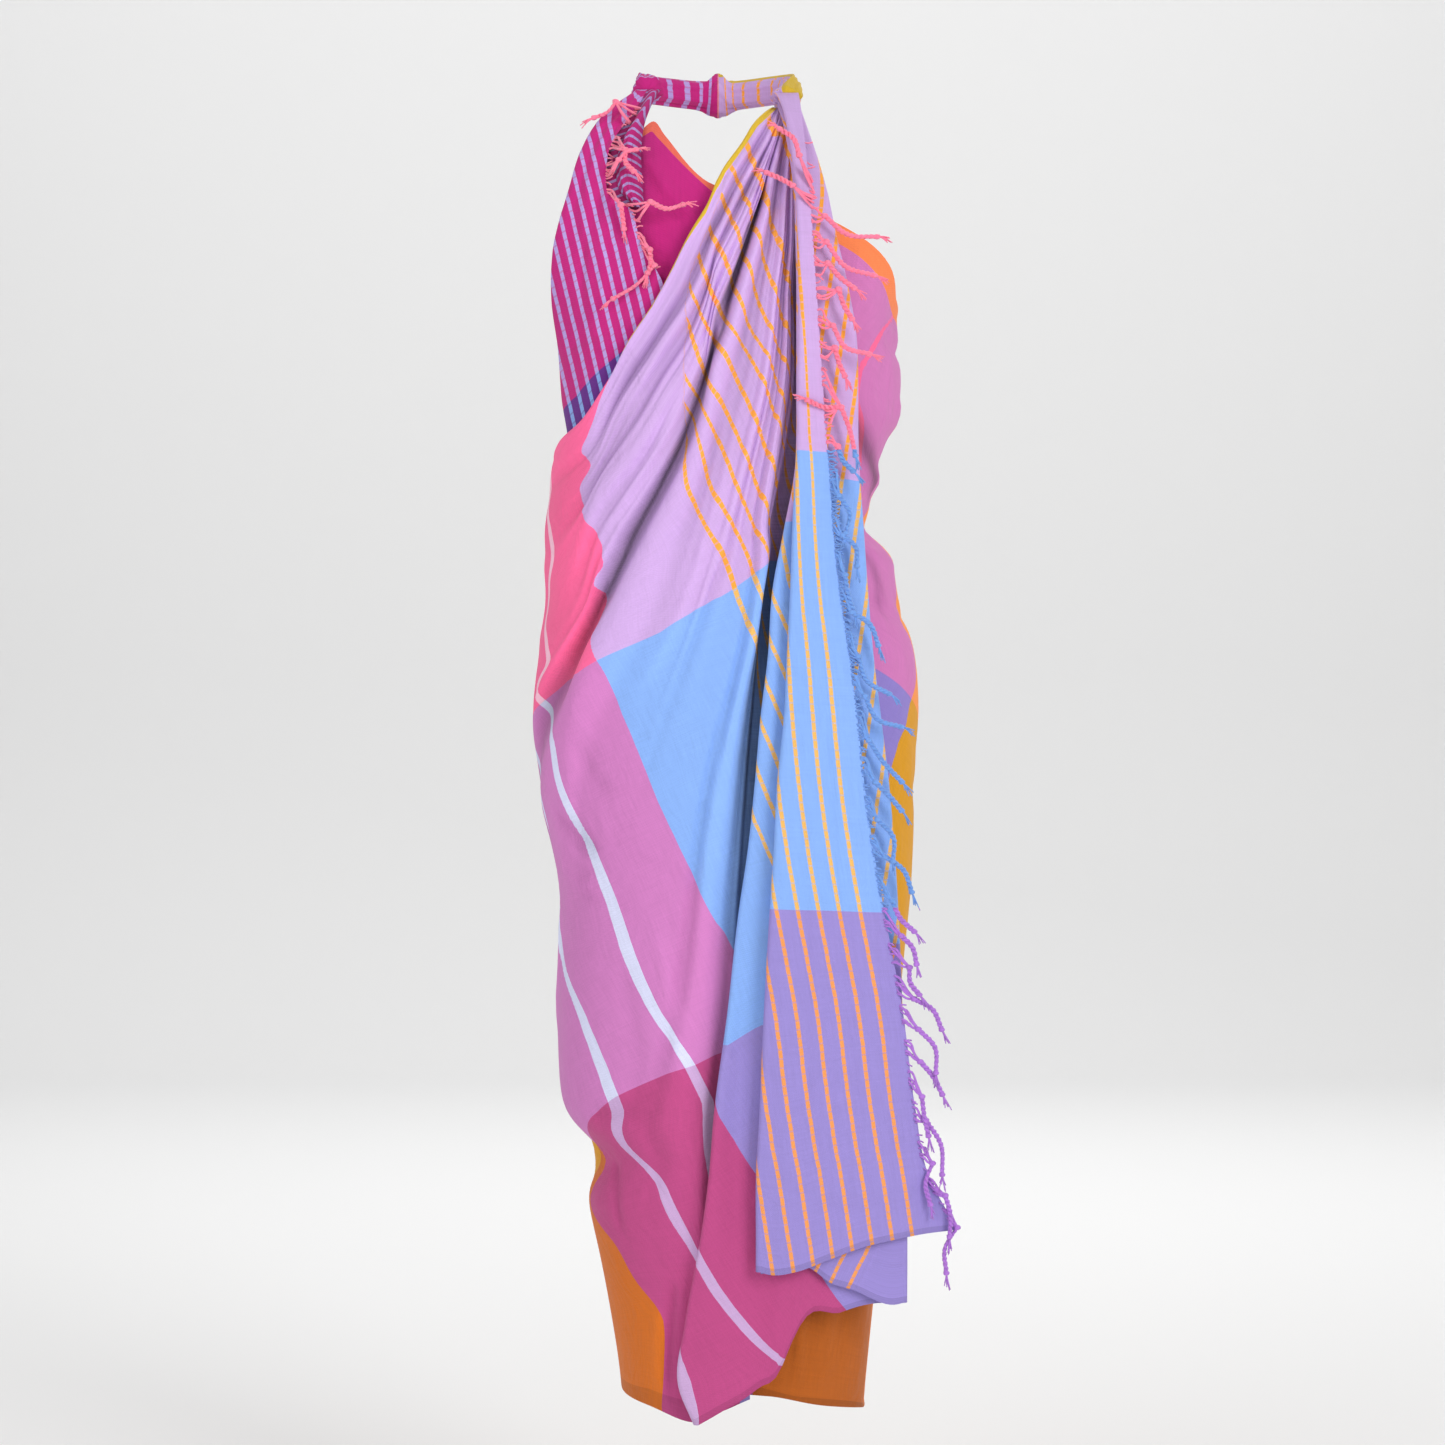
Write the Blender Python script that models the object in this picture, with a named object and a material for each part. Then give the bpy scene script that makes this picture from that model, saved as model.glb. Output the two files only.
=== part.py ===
"""Longyi sarong: one uncut length of handwoven plaid cotton with knotted fringes at both ends.

It is wound once round a hollow general figure, both top corners are tied behind the neck, and the
outer end hangs down the front as a zigzag of three strips. Lengths are in metres, +Z is up, the
garment's front faces -Y, and the origin is the middle of the neck at the height of the tie.
"""
import math

import bmesh
import bpy
import numpy as np

MM = 0.001

# Cloth
WALL = 1.5 * MM
SEAM = 0.3 * MM
LONG_SEAM = 1.1 * MM
FRINGE_SEAM = 0.9 * MM
OUTER_LIFT = 14 * MM
LAPEL_LIFT = 6 * MM
LAPEL_RIPPLE = 1 * MM
CURL_RADIUS = 4 * MM
CURL_RETURN = 3 * MM

# Roundness of the figure's sections: 2 is an ellipse, more is squarer
SECTION_POWER = 2.3

# Hollow figure under the cloth, in millimetres: height, half width to the wearer's right (left in
# the front view) and half width to the wearer's left
GIRTH = (
    (20, 120, 120),
    (0, 150, 150),
    (-40, 180, 182),
    (-100, 188, 190),
    (-150, 182, 186),
    (-200, 165, 172),
    (-235, 156, 173),
    (-290, 146, 172),
    (-340, 137, 158),
    (-386, 146, 146),
    (-416, 150, 143),
    (-440, 149, 160),
    (-480, 147, 168),
    (-530, 156, 186),
    (-580, 161, 191),
    (-625, 159, 189),
    (-670, 154, 187),
    (-716, 143, 185),
    (-750, 137, 183),
    (-810, 135, 177),
    (-860, 137, 172),
    (-910, 137, 168),
    (-950, 134, 166),
    (-1006, 120, 162),
    (-1055, 108, 158),
    (-1103, 97, 152),
    (-1150, 88, 147),
    (-1200, 80, 142),
    (-1260, 74, 136),
)

# Where the cloth is tucked in over the left hip: height, half height on the outer panel and on the
# cloth under it, and depth, in millimetres, and the turns between which it fades out to the back
TUCK = (-1004, 27, 90, 25)
TUCK_FADE = (-122, -92)

# The same figure: height, depth in front of the side seams and depth behind them
DEPTH = (
    (20, 24, 60),
    (0, 31, 80),
    (-30, 48, 92),
    (-60, 64, 98),
    (-100, 82, 100),
    (-150, 96, 100),
    (-200, 103, 100),
    (-300, 105, 100),
    (-400, 103, 97),
    (-500, 105, 108),
    (-600, 110, 122),
    (-700, 111, 124),
    (-800, 108, 118),
    (-900, 103, 110),
    (-1000, 98, 102),
    (-1100, 92, 96),
    (-1200, 86, 90),
    (-1260, 83, 86),
)

# Guide lines run down each cloth from the tie or the top edge. A row holds its place across the
# piece (0 to 1), its front points (x, height) and its points round the side (degrees, height).
UNDER_FRONT_GUIDES = (
    (0.00, ((-88, -36), (-102, -52), (-117, -76), (-131, -116), (-142, -160)),
     ((-61, -205), (-64, -250), (-69, -310), (-74, -375), (-80, -430), (-84, -500), (-85, -650),
      (-85, -950), (-85, -1215))),
    (0.14, ((-74, -44), (-86, -76), (-104, -120), (-118, -180), (-125, -280), (-122, -450),
            (-125, -700), (-105, -950), (-66, -1218)), ()),
    (0.23, ((-60, -34), (-72, -84), (-86, -190), (-94, -400), (-98, -700), (-82, -1000),
            (-48, -1217)), ()),
    (0.32, ((-48, -50), (-58, -110), (-76, -200), (-84, -400), (-88, -700), (-72, -1000),
            (-40, -1216)), ()),
    (0.50, ((0, -100), (-4, -200), (-6, -400), (-6, -700), (-4, -1000), (0, -1216)), ()),
    (0.68, ((67, -117), (68, -240), (66, -450), (68, -700), (58, -1000), (46, -1219)), ()),
    (0.86, ((134, -147), (130, -260), (122, -450), (134, -700), (114, -1000), (92, -1230)), ()),
    (1.00, (), ((80, -196), (80, -330), (80, -550), (80, -800), (80, -1020), (80, -1243))),
)
MAIN_GUIDES = (
    (0.00, ((58, -4), (35, -36), (21, -61), (7, -82), (-11, -123), (-25, -147), (-40, -178),
            (-59, -214), (-81, -247), (-99, -281), (-123, -315)),
     ((-75, -333), (-95, -342), (-125, -338))),
    (0.25, ((63, -12), (44, -66), (24, -110), (4, -152), (-12, -200), (-28, -236), (-46, -262),
            (-66, -294), (-96, -340), (-128, -392)),
     ((-75, -432), (-95, -462), (-125, -480))),
    (0.50, ((66, -20), (53, -63), (38, -120), (21, -172), (4, -213), (-16, -297), (-60, -390),
            (-107, -475), (-142, -545)),
     ((-74, -600), (-94, -660), (-125, -720))),
    (0.72, ((69, -24), (62, -100), (51, -200), (34, -320), (2, -440), (-42, -560), (-86, -690),
            (-116, -820), (-124, -930)),
     ((-76, -1040), (-98, -1140), (-125, -1215))),
    (0.84, ((70, -26), (66, -100), (60, -200), (48, -320), (28, -450), (0, -580), (-30, -720),
            (-52, -860), (-66, -1000), (-70, -1120), (-62, -1229)), ()),
    (0.92, ((71, -27), (69, -100), (65, -200), (58, -320), (44, -450), (22, -580), (2, -720),
            (-12, -860), (-22, -1000), (-26, -1120), (-22, -1240)), ()),
    (1.00, ((72, -28), (72, -100), (72, -200), (71, -302), (62, -360), (50, -418), (43, -476),
            (37, -534), (32, -593), (27, -651), (23, -709), (20, -770), (20, -860), (24, -1000),
            (28, -1120), (30, -1219)), ()),
)
LAPEL_GUIDES = (
    (0.00, ((-66, 1), (-103, -24), (-126, -62), (-141, -112), (-153, -160)),
     ((-64, -205), (-68, -250), (-76, -310), (-82, -375))),
    (0.50, ((-68, -6), (-99, -38), (-115, -72), (-121, -112), (-116, -145), (-108, -172),
            (-100, -235), (-90, -322)), ()),
    (1.00, ((-70, -20), (-94, -48), (-103, -74), (-100, -107), (-79, -124), (-72, -151),
            (-61, -172), (-40, -215), (-22, -262)), ()),
)
ROLL_GUIDES = (
    (0.00, ((-67, -8), (-78, -34), (-90, -58), (-94, -80), (-91, -103), (-75, -120)), ()),
    (1.00, ((-60, -4), (-69, -40), (-71, -75), (-69, -105), (-68, -122)), ()),
)

# Folds of the outer panel that fan out from the tie: place across at the tie and at the far end,
# half width across, height in millimetres (a trough is negative), and the share of the length
# where it has grown, where it starts to fade and where it is gone
MAIN_FOLDS = (
    (0.05, 0.04, 0.07, 5, 0.10, 0.80, 1.00),
    (0.15, 0.13, 0.05, -3, 0.12, 0.45, 0.62),
    (0.20, 0.19, 0.05, 4, 0.12, 0.45, 0.62),
    (0.27, 0.27, 0.05, -4, 0.12, 0.60, 0.80),
    (0.36, 0.34, 0.08, 6, 0.12, 0.55, 0.85),
    (0.50, 0.50, 0.035, -11, 0.10, 0.72, 0.92),
    (0.56, 0.56, 0.05, 7, 0.10, 0.60, 0.85),
    (0.64, 0.62, 0.05, -5, 0.08, 0.20, 0.42),
    (0.73, 0.70, 0.06, 5, 0.08, 0.22, 0.50),
    (0.82, 0.80, 0.05, -3, 0.12, 0.20, 0.40),
    (0.90, 0.91, 0.05, 6, 0.35, 0.60, 0.90),
)
# Share across up to which the far end of the outer panel meets the back, and not the hem
MEETS_BACK = 0.72
MAIN_ROWS = 28
# How far the outer panel turns in at the deep pleat, in millimetres, by its share of the length
SLOT_TURN_IN = ((0.00, 0), (0.03, 5), (0.07, 8), (0.24, 9), (0.50, 9), (0.62, 5), (0.72, 3), (1.00, 2))

# The three strips of the outer end, in millimetres: height, left edge of the pleat, left edge of
# the front strip, its fringed right edge, and the right edge of the strips behind it
STRIPS = (
    (-12, 60, 66, 76, 80),
    (-50, 66, 70, 80, 86),
    (-97, 70, 71, 83, 98),
    (-145, 71, 72, 86, 107),
    (-194, 72, 73, 89, 118),
    (-240, 72, 73, 92, 126),
    (-300, 72, 72, 96, 128),
    (-332, 72, 72, 98, 128),
    (-361, 71, 71, 101, 129),
    (-418, 61, 68, 105, 133),
    (-476, 50, 66, 111, 137),
    (-535, 46, 63, 120, 142),
    (-593, 39, 60, 127, 149),
    (-651, 34, 54, 133, 156),
    (-709, 28, 51, 141, 161),
    (-771, 19, 47, 152, 165),
    (-861, 9, 42, 169, 169),
    (-951, -3, 38, 181, 171),
    (-1011, -8, 35, 193, 173),
    (-1064, -15, 35, 219, 174),
    (-1148, -30, 35, 219, 174),
    (-1205, -36, 35, 219, 174),
    (-1240, -22, 35, 219, 174),
)
# Hems of the strips: share of the width, height
PLEAT_HEM = ((0, -1240), (0.13, -1228), (0.34, -1206), (0.45, -1186), (0.49, -1160),
             (0.71, -1138), (0.85, -1131), (1, -1131))
TAIL_UNDER_HEM = ((0, -1099), (0.33, -1093), (0.49, -1109), (0.64, -1116), (0.96, -1131), (1, -1130))
TAIL_FRONT_HEM = ((0, -1096), (0.04, -1098), (0.16, -1096), (0.34, -1086), (0.55, -1074),
                  (0.78, -1067), (1, -1063))
STRIP_STAND_OFF = 28 * MM
STRIP_TOP = -12 * MM
STRIP_LEAN = 0.25
STRIP_LEAN_FROM = 60 * MM
STRIP_RIPPLE = 2.0 * MM
RIPPLE_LENGTH = 80 * MM
RIPPLE_SLANT = 4
# Share of the figure's depth that the strips follow
STRIP_FOLLOWS = 0.97
PLEAT_ROWS, TAIL_ROWS = 24, 23

# Back and right side of the wrap: turn in degrees, height of the top edge, height of the hem
RIGHT_TURN, BACK_TURN, LEFT_TURN = 80, 130, 235
WRAP_ROWS = np.linspace(0, 1, 21)
BACK_RIPPLE = 3 * MM
WRAP_TOP = ((80, -196), (90, -203), (110, -215), (130, -228), (180, -268), (235, -338))
WRAP_HEM = ((80, -1243), (105, -1242), (130, -1238), (180, -1228), (235, -1215))
# Hollows gathered down the right side: turn, height, half width in degrees, half height, depth
SIDE_HOLLOWS = (
    (76, -215, 16, 40, 5),
    (88, -360, 22, 34, 4),
    (90, -480, 24, 40, -4),
    (104, -560, 22, 90, 3),
)

# Neck tie: the path of its middle, in millimetres, its half height, half thickness and flutes
TIE_PATH = (
    (64, -33, -10),
    (71, -6, 4),
    (60, 34, 12),
    (24, 62, 13),
    (0, 67, 12),
    (-24, 62, 13),
    (-60, 34, 12),
    (-71, -2, 8),
    (-66, -20, 2),
)
TIE_HALF_HEIGHT = 13 * MM
TIE_HALF_THICK = 8 * MM
TIE_KNOT_SWELL = 0.55
TIE_FLUTES = 5
TIE_FLUTE_DEPTH = 0.09
NECK_RIGHT_CAP = (64, -33, -10)
NECK_LEFT_CAP = (-66, -20, 2)
CAP_HALF_WIDTH = 12 * MM
CAP_LAYER = 3.5 * MM
WHOLE_CAP = (0.02, 0.98)
# Where each layer lies on its cap, in layers from the middle, and the share of its length over
# which it is drawn in
MAIN_ON_CAP, MAIN_DRAWN_IN = -2.9, 0.10
PLEAT_ON_CAP, PLEAT_DRAWN_IN = -0.9, 0.09
TAIL_UNDER_ON_CAP, TAIL_FRONT_ON_CAP, TAIL_DRAWN_IN = 0.6, 2.1, 0.10
LAPEL_DRAWN_IN, ROLL_DRAWN_IN = 0.14, 0.30
RIGHT_CAP_DROP, LEFT_CAP_DROP = 42, 35
LAPEL_ON_CAP = (0.00, 0.46)
ROLL_ON_CAP = (0.54, 1.00)
ROLL_LIFT = 3 * MM
ROLL_CREST = 11 * MM
ROLL_FOOT = -128 * MM

# Knotted tassels of the tail: height of the root, then the knot and the tip from it (x, height)
TAIL_TASSELS = (
    (-104, -9, 26, -27, 50),
    (-119, -16, 12, -40, 24),
    (-134, 12, -1, 60, -20),
    (-156, 12, -3, 56, -34),
    (-180, 12, 1, 36, -22),
    (-206, 20, 3, 32, -24),
    (-230, 13, -6, 46, -32),
    (-258, 13, 2, 22, -24),
    (-284, 17, -26, 30, -70),
    (-316, 12, 6, -16, 12),
    (-342, 10, -3, 24, -26),
    (-376, 8, -14, 14, -48),
    (-412, 9, -14, 22, -42),
    (-446, 8, -16, 16, -50),
    (-482, 10, -14, 34, -44),
    (-520, 10, -16, 38, -50),
    (-556, 11, -16, 44, -44),
    (-594, 10, -18, 40, -56),
    (-632, 12, -18, 36, -44),
    (-668, 10, -16, 24, -54),
    (-704, 12, -14, 36, -46),
    (-742, 12, -16, 32, -44),
    (-776, 14, -14, 28, -40),
    (-806, 16, -13, 25, -38),
    (-834, 15, -14, 40, -42),
    (-862, 14, -14, 30, -54),
    (-892, 12, -14, 32, -44),
    (-922, 10, -16, 16, -52),
    (-954, 9, -6, 24, -56),
    (-988, 10, -12, 8, -50),
    (-1020, 12, -10, 16, -48),
    (-1048, 8, -12, -2, -54),
)
# Tassels of the lapel, named the same way
LAPEL_TASSELS = (
    (-30, -12, 14, -32, -2),
    (-58, 14, -8, 22, -30),
    (-84, 12, 8, 28, 18),
    (-110, 9, -10, 12, -32),
    (-127, 16, 9, 46, 6),
    (-150, 10, -12, 8, -34),
    (-163, 8, -14, -30, -44),
)
BACKING = 1.6 * MM
ROOT_HALF = 2.0 * MM
ROOT_APART = 8.5 * MM
STRAND_HALF = 1.0 * MM
KNOT_HALF = 2.1 * MM
BRUSH_HALF = 1.9 * MM
STRAND_CLEAR = 3.6 * MM
# A strand whose knot lies to the left of its root first rises over the edge through these points
OVER_EDGE = ((4 * MM, 3 * MM), (2 * MM, 8 * MM))
SHORT_STRAND = 8 * MM
ROOT_OUT = 2.5 * MM

# Colours of the plaid, as linear red, green and blue
MAGENTA = (0.62, 0.04, 0.26, 1)
ORANGE = (0.80, 0.34, 0.06, 1)
GOLD = (0.60, 0.36, 0.04, 1)
MAUVE = (0.60, 0.20, 0.48, 1)
LILAC = (0.60, 0.42, 0.80, 1)
BLUE = (0.26, 0.44, 0.85, 1)
PERIWINKLE = (0.34, 0.28, 0.66, 1)
STRIPED = (0.50, 0.10, 0.36, 1)
PINK_YARN = (1.00, 0.22, 0.38, 1)
BLUE_YARN = (0.22, 0.40, 0.80, 1)


def steady_slopes(knots, values):
    """Slopes at the knots that keep a curve between its neighbouring values."""
    rise = (np.diff(values, axis=0).T / np.diff(knots)).T
    before, after = rise[:-1], rise[1:]
    same_way = before * after > 0
    total = np.where(same_way, before + after, 1)
    inner = np.where(same_way, 2 * before * after / total, 0)
    return np.concatenate([rise[:1], inner, rise[-1:]])


def curve(knots, values, steady=False):
    """The smooth curve through values at the knots, as a function of the place between them."""
    knots = np.asarray(knots, float)
    values = np.asarray(values, float)
    slopes = steady_slopes(knots, values) if steady else np.gradient(values, knots, axis=0)

    def at(place):
        place = np.asarray(place, float)
        index = np.clip(np.searchsorted(knots, place) - 1, 0, len(knots) - 2)
        width = knots[index + 1] - knots[index]
        share = np.clip((place - knots[index]) / width, 0, 1)
        if values.ndim == 2:
            width = width[..., None]
            share = share[..., None]
        start = (1 + 2 * share) * (1 - share) ** 2 * values[index]
        end = share ** 2 * (3 - 2 * share) * values[index + 1]
        leave = share * (1 - share) ** 2 * width * slopes[index]
        arrive = share ** 2 * (share - 1) * width * slopes[index + 1]
        return start + end + leave + arrive

    return at


def table_curve(rows, column):
    """A curve of one column of a table against its first column, both in metres."""
    rows = sorted(rows)
    return curve([row[0] * MM for row in rows], [row[column] * MM for row in rows])


def step(start, end, place):
    """0 before start, 1 after end, and smooth between them."""
    share = np.clip((np.asarray(place, float) - start) / (end - start), 0, 1)
    return share * share * (3 - 2 * share)


left_half = table_curve(GIRTH, 1)
right_half = table_curve(GIRTH, 2)
front_depth = table_curve(DEPTH, 1)
back_depth = table_curve(DEPTH, 2)
pleat_left = table_curve(STRIPS, 1)
tail_left = table_curve(STRIPS, 2)
tail_right = table_curve(STRIPS, 3)
fold_right = table_curve(STRIPS, 4)


def tuck(turn, height, lift):
    """How far the left side is tucked in."""
    middle, outer_half, inner_half, depth = TUCK
    half_height = np.where(np.asarray(lift) > LAPEL_LIFT + LAPEL_RIPPLE, outer_half, inner_half)
    near = np.exp(-((height / MM - middle) / half_height) ** 2)
    return depth * MM * near * step(TUCK_FADE[0], TUCK_FADE[1], turn)


def on_figure(turn, height, lift):
    """Points round the figure: turn in degrees from the front middle, plus to the right."""
    turn = np.mod(np.asarray(turn, float) + 180, 360) - 180
    height = np.asarray(height, float)
    left = left_half(height) - tuck(turn, height, lift)
    turn = np.radians(turn)
    across = np.sin(turn)
    ahead = np.cos(turn)
    half = np.where(across < 0, left, right_half(height)) + lift
    deep = np.where(ahead > 0, front_depth(height), back_depth(height)) + lift
    x = half * np.sign(across) * np.abs(across) ** (2 / SECTION_POWER)
    y = -deep * np.sign(ahead) * np.abs(ahead) ** (2 / SECTION_POWER)
    return np.stack([x, y, height + 0 * x], axis=-1)


def turn_at(x, height, lift):
    """Turn in degrees of a front point that is seen at x."""
    half = (left_half(height) - tuck(0, height, lift) if x < 0 else right_half(height)) + lift
    share = min(abs(x) / float(half), 1) ** (SECTION_POWER / 2)
    return math.copysign(math.degrees(math.asin(share)), x)


def guide_line(front, side, lift):
    """A guide's turn and height as a curve of its share of the length."""
    places = [(turn_at(x * MM, z * MM, lift), z * MM) for x, z in front]
    places += [(turn, z * MM) for turn, z in side]
    places = np.array(places)
    points = on_figure(places[:, 0], places[:, 1], lift)
    steps = np.linalg.norm(np.diff(points, axis=0), axis=1)
    reached = np.concatenate([[0], np.cumsum(steps)])
    return curve(reached / reached[-1], places)


def fan(guides, lift):
    """A function that gives turn and height on a piece from its share across and down."""
    across = [row[0] for row in guides]
    lines = [guide_line(row[1], row[2], lift) for row in guides]

    def at(places_across, down):
        return curve(across, [line(down) for line in lines], steady=True)(places_across)

    return at


def fold_height(folds, places_across, down):
    """Height of all folds of a table at one share of the length."""
    total = 0 * np.asarray(places_across, float)
    for start, end, half, height, grown, fades, gone in folds:
        middle = start + (end - start) * down
        reach = np.clip(np.abs(places_across - middle) / half, 0, 1)
        shape = 0.5 + 0.5 * np.cos(math.pi * reach)
        strength = step(0.02, grown, down) * (1 - step(fades, gone, down))
        total = total + height * MM * shape * strength
    return total


def cap_frame(middle, drop):
    """Origin, facing, across and layer directions of an end of the neck tie."""
    facing = np.array([0, -math.cos(drop), -math.sin(drop)])
    layer = np.array([0, -math.sin(drop), math.cos(drop)])
    return np.array(middle) * MM, facing, np.array([1.0, 0, 0]), layer


RIGHT_CAP = cap_frame(NECK_RIGHT_CAP, math.radians(RIGHT_CAP_DROP))
LEFT_CAP = cap_frame(NECK_LEFT_CAP, math.radians(LEFT_CAP_DROP))


def on_cap(cap, shares, layer_place):
    """A row of points just off an end of the tie, from its left to its right."""
    middle, facing, across, layer = cap
    shares = np.asarray(shares, float)[:, None]
    side = (2 * shares - 1) * CAP_HALF_WIDTH
    start = middle + facing * (SEAM + WALL / 2) + layer * layer_place
    return start + across * side


def gather(points, cap, span, layer_place, reach):
    """Draws the top rows of a grid in to a span of an end of the tie, over a share of the rows."""
    rows, columns = points.shape[:2]
    row_on_cap = on_cap(cap, np.linspace(span[0], span[1], columns), layer_place)
    for row in range(rows):
        weight = 1 - step(0, reach, row / (rows - 1))
        points[row] = points[row] * (1 - weight) + row_on_cap * weight
    return points


def spread(edges, counts):
    """Shares from 0 to 1 with the given number of steps between each pair of edges."""
    parts = [np.linspace(a, b, n, endpoint=False) for a, b, n in zip(edges, edges[1:], counts)]
    return np.concatenate(parts + [[edges[-1]]])


def material(name, colour):
    """Matt cotton of one colour."""
    made = bpy.data.materials.new(name)
    made.use_nodes = True
    shader = made.node_tree.nodes["Principled BSDF"]
    shader.inputs["Base Color"].default_value = colour
    shader.inputs["Roughness"].default_value = 0.85
    shader.inputs["Metallic"].default_value = 0.0
    made.diffuse_color = colour
    return made


def new_object(name, points, faces, colour):
    """A mesh object with its own material, its faces shaded smooth."""
    mesh = bpy.data.meshes.new(name)
    mesh.from_pydata([tuple(point) for point in points], [], faces)
    shape = bmesh.new()
    shape.from_mesh(mesh)
    bmesh.ops.recalc_face_normals(shape, faces=shape.faces)
    shape.to_mesh(mesh)
    shape.free()
    mesh.shade_smooth()
    made = bpy.data.objects.new(name, mesh)
    made.data.materials.append(material(name + "_cotton", colour))
    bpy.context.scene.collection.objects.link(made)
    return made


def cloth(name, grid, colour):
    """A wall of cloth on a grid of points, rows down and columns to the right."""
    rows, columns = grid.shape[:2]
    faces = []
    for row in range(rows - 1):
        for column in range(columns - 1):
            corner = row * columns + column
            faces.append((corner, corner + columns, corner + columns + 1, corner + 1))
    made = new_object(name, grid.reshape(-1, 3), faces, colour)
    wall = made.modifiers.new("wall", "SOLIDIFY")
    wall.thickness = WALL
    wall.offset = 0
    return made


def fan_grid(guides, base_lift, lift_at, shares_across, shares_down):
    """Grid of points of a piece that follows its guides, lifted off the figure by lift_at."""
    place = fan(guides, base_lift)
    rows = []
    for down in shares_down:
        turn, height = place(shares_across, down).T
        rows.append(on_figure(turn, height, lift_at(shares_across, down)))
    return np.array(rows)


def shift_along(edge, inner, distance):
    """Moves an edge of a grid in towards the row or column beside it."""
    away = inner - edge
    return edge + away / np.linalg.norm(away, axis=1)[:, None] * distance


def on_column(column, heights):
    """Points of a column of a grid at the given heights."""
    x = np.interp(-heights, -column[:, 2], column[:, 0])
    y = np.interp(-heights, -column[:, 2], column[:, 1])
    return np.stack([x, y, heights], axis=-1)


def side_hollow(turn, height):
    """Depth of the gathered hollows down the right side."""
    total = 0 * np.asarray(turn, float)
    for middle, middle_height, half, half_height, depth in SIDE_HOLLOWS:
        near = ((turn - middle) / half) ** 2 + ((height / MM - middle_height) / half_height) ** 2
        total = total + depth * MM * np.exp(-near)
    return total


def side_lift(turns, height):
    """Lift of the wrap down the right side."""
    return -side_hollow(turns, height)


def wrap_column(turn, shares_down, lift_at):
    """One column of the wrap at a turn, from its top edge to its hem."""
    top = curve([row[0] for row in WRAP_TOP], [row[1] * MM for row in WRAP_TOP])
    hem = curve([row[0] for row in WRAP_HEM], [row[1] * MM for row in WRAP_HEM])
    height = top(turn) + (hem(turn) - top(turn)) * shares_down
    turns = np.full(len(shares_down), float(turn))
    return on_figure(turns, height, lift_at(turns, height))


def wrap_grid(turns, shares_down, lift_at):
    """Grid of points of the wrap, with half a seam left at its first and last turns."""
    grid = np.stack([wrap_column(turn, shares_down, lift_at) for turn in turns], axis=1)
    grid[:, 0] = shift_along(grid[:, 0], grid[:, 1], LONG_SEAM / 2)
    grid[:, -1] = shift_along(grid[:, -1], grid[:, -2], LONG_SEAM / 2)
    return grid


def make_under_front():
    """The inner end of the cloth, across the chest from the left fold to the right armpit."""
    across = spread((0, 0.14, 0.5, 1), (3, 4, 5))
    grid = fan_grid(UNDER_FRONT_GUIDES, 0, lambda places, down: 0 * places, across, WRAP_ROWS)
    grid[:, -1] = wrap_column(RIGHT_TURN, WRAP_ROWS, side_lift)
    grid[:, -1] = shift_along(grid[:, -1], grid[:, -2], LONG_SEAM / 2)
    cloth("under_front", grid, MAGENTA)


def make_right_side():
    """The wrap under the right arm."""
    turns = np.linspace(RIGHT_TURN, BACK_TURN, 8)
    cloth("right_side", wrap_grid(turns, WRAP_ROWS, side_lift), MAUVE)


def back_lift(turns, height):
    """Lift of the wrap across the back: it rises to the outer layer and ripples lower down."""
    rise = OUTER_LIFT * step(BACK_TURN + 30, LEFT_TURN, turns)
    ripple = BACK_RIPPLE * np.sin(np.radians((turns - BACK_TURN) * 9))
    away = step(BACK_TURN, BACK_TURN + 15, turns) * step(LEFT_TURN, LEFT_TURN - 15, turns)
    return rise + ripple * away * step(-0.5, -1.1, height)


def make_back():
    """The wrap across the back, rising to the outer layer on the left."""
    turns = np.linspace(BACK_TURN, LEFT_TURN, 15)
    cloth("back", wrap_grid(turns, WRAP_ROWS, back_lift), GOLD)


def make_main_panel():
    """The outer layer, from the left of the back round to the deep pleat in front."""
    edges = (0, 0.13, 0.27, 0.45, 0.50, 0.56, 0.72, 0.84, 0.92, 1)
    across = spread(edges, (2, 3, 3, 2, 2, 3, 4, 2, 2))
    turn_in = curve([row[0] for row in SLOT_TURN_IN], [row[1] * MM for row in SLOT_TURN_IN])

    def lift(places, down):
        folds = fold_height(MAIN_FOLDS, places, down)
        return OUTER_LIFT + folds - turn_in(down) * step(0.94, 1.0, places)

    back_edge = wrap_column(LEFT_TURN, WRAP_ROWS, back_lift)
    grid = fan_grid(MAIN_GUIDES, OUTER_LIFT, lift, across, np.linspace(0, 1, MAIN_ROWS))
    grid = gather(grid, RIGHT_CAP, WHOLE_CAP, MAIN_ON_CAP * CAP_LAYER, MAIN_DRAWN_IN)
    at_back = across <= MEETS_BACK
    seam = on_column(back_edge, grid[-1, at_back, 2])
    grid[-1, at_back] = shift_along(seam, grid[-2, at_back], LONG_SEAM)
    cloth("main_panel", grid, MAUVE)


def strip_depth(x, height, layer):
    """How far a strip of the tail hangs in front of the figure's side seams."""
    stand = STRIP_FOLLOWS * front_depth(height) + STRIP_STAND_OFF + layer * 2 * CURL_RADIUS
    lean = STRIP_LEAN * np.maximum(x - STRIP_LEAN_FROM, 0)
    ripple = STRIP_RIPPLE * np.sin(2 * math.pi * x / RIPPLE_LENGTH + RIPPLE_SLANT * height)
    return -(stand - lean + ripple * step(-0.15, -0.6, height))


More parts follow.
